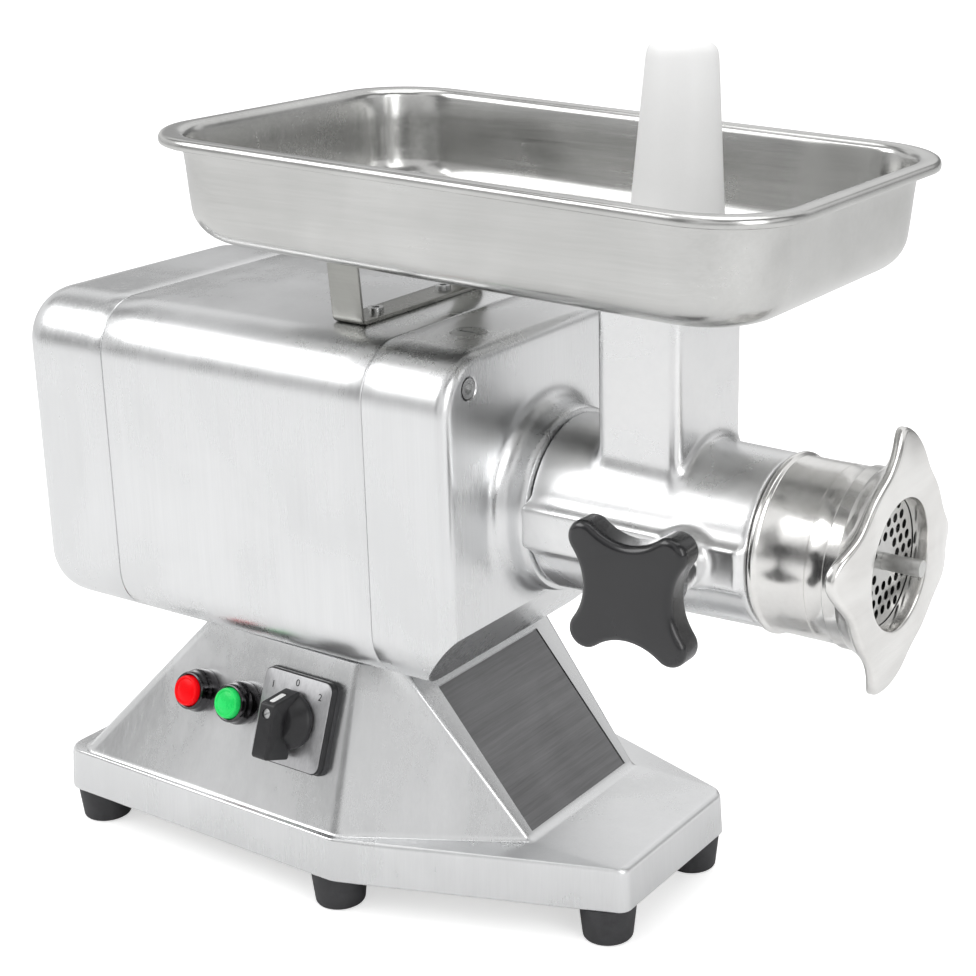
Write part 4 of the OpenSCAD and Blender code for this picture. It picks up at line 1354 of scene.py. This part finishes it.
    def build(self, shop: Workshop) -> None:
        """Makes the casting, the ring nut and the knob.

        Args:
            shop: makes the pieces.
        """
        shop.piece("head_barrel", self.casting(), "head_casting", sharp=50)
        shop.piece("wing_ring_nut", self.ring_nut(), "ring_nut", sharp=38)
        shop.piece("cross_knob", self.knob(), "clamp_knob", sharp=45)


# ---------------------------------------------------------------- tray and stomper


@dataclass
class Tray:
    """The feed tray: pressed sheet with a rolled rim and a hole over the neck."""

    length: float = 346.0
    width: float = 211.0
    centre_x: float = 38.0
    neck_x: float = 108.5
    floor_z: float = 334.0
    tilt: float = 1.5
    hole: tuple = (41.0, 58.0, 6.5)
    corner: float = 44.0
    bend_r: float = 17.0
    bend_inset: float = 30.0
    bend_z: float = 18.5
    sheet: float = 1.2

    def level(self, inset: float, z: float) -> np.ndarray:
        """The tray's outline drawn in by inset, its corner radius falling more slowly, at height z."""
        r = max(self.corner - 0.6 * inset, 8)
        return at_height(rectangle(self.length - 2 * inset, self.width - 2 * inset, r, 18, 10), z)

    def to_hole(self, share: float, z: float) -> np.ndarray:
        """A ring part of the way from the flat floor's edge to the hole's edge.

        Args:
            share: 0 at the flat floor's edge, 1 at the hole's.
            z: its height, in mm.
        Returns:
            the ring.
        """
        edge = self.level(self.bend_inset, z)
        hole = rectangle(*self.hole, 18, 10) + [self.neck_x - self.centre_x, 0]
        return edge * (1 - share) + at_height(hole, z) * share

    def sheet_surface(self) -> Surface:
        """One closed loop of rings: hole, floor, bend, wall, rim, rolled edge, and back underneath.

        Returns:
            the closed surface.
        """
        t, c, r, e = self.sheet, self.bend_z, self.bend_r, self.bend_inset
        rows = [self.to_hole(s, c - r) for s in (1.0, 0.97, 0.75, 0.5, 0.25)]
        bend = np.radians(np.linspace(0, 84, 10))
        rows += [self.level(e - r * math.sin(a), c - r * math.cos(a)) for a in bend]
        wall = [(12.4, 26), (11.5, 38), (10.6, 50), (10.2, 51.6), (9.3, 53), (8.0, 53.8)]
        rim = [(6.5, 54.1), (3, 54.2), (1.7, 54.0), (0.8, 53.4), (0.25, 52.5), (0, 51.4), (0, 49.8)]
        rolled = [(0.25, 49.2), (0.7, 49), (1.1, 49.3), (1.25, 50), (1.25, 51.4), (1.6, 52.2), (2.4, 52.8)]
        under = [(3.2, 53), (6.6, 52.8), (7.6, 52.4), (8.6, 51.4), (9.1, 50), (10.3, 38), (11.1, 26)]
        rows += [self.level(i, z) for i, z in wall + rim + rolled + under]
        rows += [self.level(e - (r + t) * math.sin(a), c - (r + t) * math.cos(a)) for a in bend[::-1]]
        rows += [self.to_hole(s, c - r - t) for s in (0.25, 0.5, 0.75, 0.97, 1.0)]
        q = math.radians(self.tilt)
        cos_q, sin_q = math.cos(q), math.sin(q)
        place = Place((self.neck_x, 0, self.floor_z), (cos_q, 0, -sin_q), (0, 1, 0), (sin_q, 0, cos_q))
        rings = np.stack(rows) + [self.centre_x - self.neck_x, 0, 0]
        return loft(rings, wrap=True).moved(place)

    def build(self, shop: Workshop) -> None:
        """Makes the tray."""
        shop.piece("pressed_tray", self.sheet_surface(), "feed_tray", sharp=45)


@dataclass
class Stomper:
    """The white pusher with its stop flange, leaning against the side of the throat."""

    seat: tuple = (108.5, 5.0, 342.8)
    lean: float = 3.3

    def shape(self) -> Surface:
        """A turned shape: tapered pusher, stop flange and tapered handle with a rounded top.

        Returns:
            the closed surface.
        """
        pusher = [(-86, 13.4), (-85.4, 14.9), (-84.4, 15.5), (-40, 16.3), (-0.1, 17)]
        flange = [(0.1, 22.8), (0.8, 23.8), (2.5, 24), (4.2, 23.8), (5, 23.3)]
        handle = [(35, 21), (65, 18.8), (90, 16.9)]
        top = [(93, 16.4), (95.2, 15.4), (96.6, 13.8), (97.4, 11.6), (97.7, 8), (97.7, 3)]
        return turned(pusher + flange + handle + top, 72)

    def build(self, shop: Workshop) -> None:
        """Makes the stomper, turned about X by its lean.

        Args:
            shop: makes the piece.
        """
        q = math.radians(self.lean)
        place = Place(self.seat, (1, 0, 0), (0, math.cos(q), -math.sin(q)), (0, math.sin(q), math.cos(q)))
        shop.piece("white_pusher", self.shape().moved(place), "stomper", sharp=50)


# ---------------------------------------------------------------- studio


@dataclass
class Studio:
    """Floor, lights, surroundings and camera."""

    camera_at: tuple = (0.579, -0.7944, 0.5457)
    camera_turn: tuple = (71.1, 0.0, 31.2)
    lens: float = 74.4
    shift: tuple = (-0.167, -0.003)
    floor_half: float = 14.0
    floor_tone: float = 0.88
    floor_lift: float = 0.55
    room_strength: float = 0.8
    seen_strength: float = 8.0

    def floor(self) -> None:
        """A wide flat pale floor, white where the camera sees it: grid point (i, j) lies at (x, y, 0)."""
        s = np.linspace(-self.floor_half, self.floor_half, 9)
        x, y = np.meshgrid(s, s, indexing="ij")
        points = np.stack([x, y, np.full_like(x, -0.0002)], -1).reshape(-1, 3)
        i, j = np.meshgrid(np.arange(8), np.arange(8), indexing="ij")
        near, far = i * 9 + j, (i + 1) * 9 + j
        faces = np.stack([near, far, far + 1, near + 1], -1).reshape(-1, 4)
        mesh = bpy.data.meshes.new("studio_floor")
        mesh.from_pydata(points.tolist(), [], faces.tolist())
        mat = bpy.data.materials.new("studio_floor")
        mat.use_nodes = True
        shader = mat.node_tree.nodes["Principled BSDF"]
        shader.inputs["Base Color"].default_value = (*[self.floor_tone] * 3, 1)
        shader.inputs["Roughness"].default_value = 0.9
        shader.inputs["Specular IOR Level"].default_value = 0.0
        n = Nodes(mat.node_tree)
        seen = n.add("ShaderNodeLightPath").outputs["Is Camera Ray"]
        lift = n.add("ShaderNodeMath", {0: seen, 1: self.floor_lift}, operation="MULTIPLY")
        shader.inputs["Emission Color"].default_value = (1, 1, 1, 1)
        mat.node_tree.links.new(lift.outputs[0], shader.inputs["Emission Strength"])
        mesh.materials.append(mat)
        obj = bpy.data.objects.new("studio_floor", mesh)
        bpy.context.scene.collection.objects.link(obj)

    def surroundings(self) -> None:
        """A pale room, white where the camera sees it: brighter to the ceiling, with soft darker patches."""
        world = bpy.data.worlds.new("pale_room")
        world.use_nodes = True
        bpy.context.scene.world = world
        n = Nodes(world.node_tree)
        where = n.add("ShaderNodeTexCoord").outputs["Generated"]
        split = n.add("ShaderNodeSeparateXYZ", {0: where})
        up = n.add("ShaderNodeMapRange", {"Value": split.outputs[2], "From Min": -1.0, "From Max": 1.0})
        ramp = n.add("ShaderNodeValToRGB", {0: up.outputs[0]})
        e = ramp.color_ramp.elements
        e[0].position, e[0].color = 0.45, (0.95, 0.95, 0.95, 1)
        e[1].position, e[1].color = 1.0, (1, 1, 1, 1)
        for at, value in ((0.52, 0.80), (0.6, 0.88), (0.78, 0.98)):
            stop = e.new(at)
            stop.color = (value, value, value, 1)
        bands = n.add("ShaderNodeTexNoise", {"Vector": where, "Scale": 2.2, "Detail": 0.0})
        limits = {"From Min": 0.40, "From Max": 0.58, "To Min": 0.40, "To Max": 1.25}
        dim = n.add("ShaderNodeMapRange", {"Value": bands.outputs["Fac"], **limits})
        both = {0: 1.0, 6: ramp.outputs[0], 7: dim.outputs[0]}
        mix = n.add("ShaderNodeMix", both, data_type="RGBA", blend_type="MULTIPLY")
        back = world.node_tree.nodes["Background"]
        world.node_tree.links.new(mix.outputs[2], back.inputs["Color"])
        seen = n.add("ShaderNodeLightPath").outputs["Is Camera Ray"]
        strength = n.add("ShaderNodeMix", {0: seen, 2: self.room_strength, 3: self.seen_strength})
        world.node_tree.links.new(strength.outputs[0], back.inputs["Strength"])

    def light(self, name: str, at: tuple, aim: tuple, size: tuple, power: float) -> None:
        """A soft rectangular light.

        Args:
            name: its name.
            at, aim: where it hangs and the point it faces, in metres.
            size: its width and height, in metres.
            power: its power in watts.
        """
        data = bpy.data.lights.new(name, "AREA")
        data.shape, data.size, data.size_y, data.energy = "RECTANGLE", size[0], size[1], power
        obj = bpy.data.objects.new(name, data)
        bpy.context.scene.collection.objects.link(obj)
        obj.location = at
        way = np.array(aim) - np.array(at)
        way /= np.linalg.norm(way)
        turn_z = math.atan2(way[0], -way[1]) if abs(way[2]) < 0.999 else 0.0
        obj.rotation_euler = (math.acos(-way[2]), 0.0, turn_z + math.pi)

    def camera(self) -> None:
        """The camera at its measured place."""
        data = bpy.data.cameras.new("front_left_camera")
        data.lens, data.sensor_width = self.lens, 36.0
        data.shift_x, data.shift_y = self.shift
        data.clip_start, data.clip_end = 0.05, 60
        obj = bpy.data.objects.new("front_left_camera", data)
        obj.location = self.camera_at
        obj.rotation_euler = [math.radians(a) for a in self.camera_turn]
        bpy.context.scene.collection.objects.link(obj)
        bpy.context.scene.camera = obj

    def build(self) -> None:
        """Sets the whole studio up."""
        self.floor()
        self.surroundings()
        self.light("key_left", (-1.6, -1.4, 1.7), (0, 0, 0.2), (1.6, 1.2), 20)
        self.light("top_soft", (0.1, 0.2, 2.2), (0, 0, 0.2), (2.0, 1.6), 16)
        self.light("front_right", (1.9, -0.7, 1.0), (0.1, 0, 0.22), (0.9, 1.4), 10)
        self.camera()
        bpy.context.scene.view_settings.view_transform = "Standard"


def main() -> None:
    """Builds the studio and every part of the grinder in order."""
    logging.basicConfig(level=logging.INFO, format="%(name)s: %(message)s")
    record = frame["record"]
    node_slot = {s["node"]: s["material_slot"] for s in record["subparts"]}
    node_body = {n: b for b, ns in record["behaviour"]["bodies"].items() for n in ns}
    shop = Workshop(Effects(), node_slot, node_body)
    Studio().build()
    for part in (Base(), Housing(), TrayBracket(), ControlPanel(), GrindingHead(), Tray(), Stomper()):
        part.build(shop)
        log.info("built %s", type(part).__name__)
    shop.dress_cad()


if __name__ == "__main__":
    main()
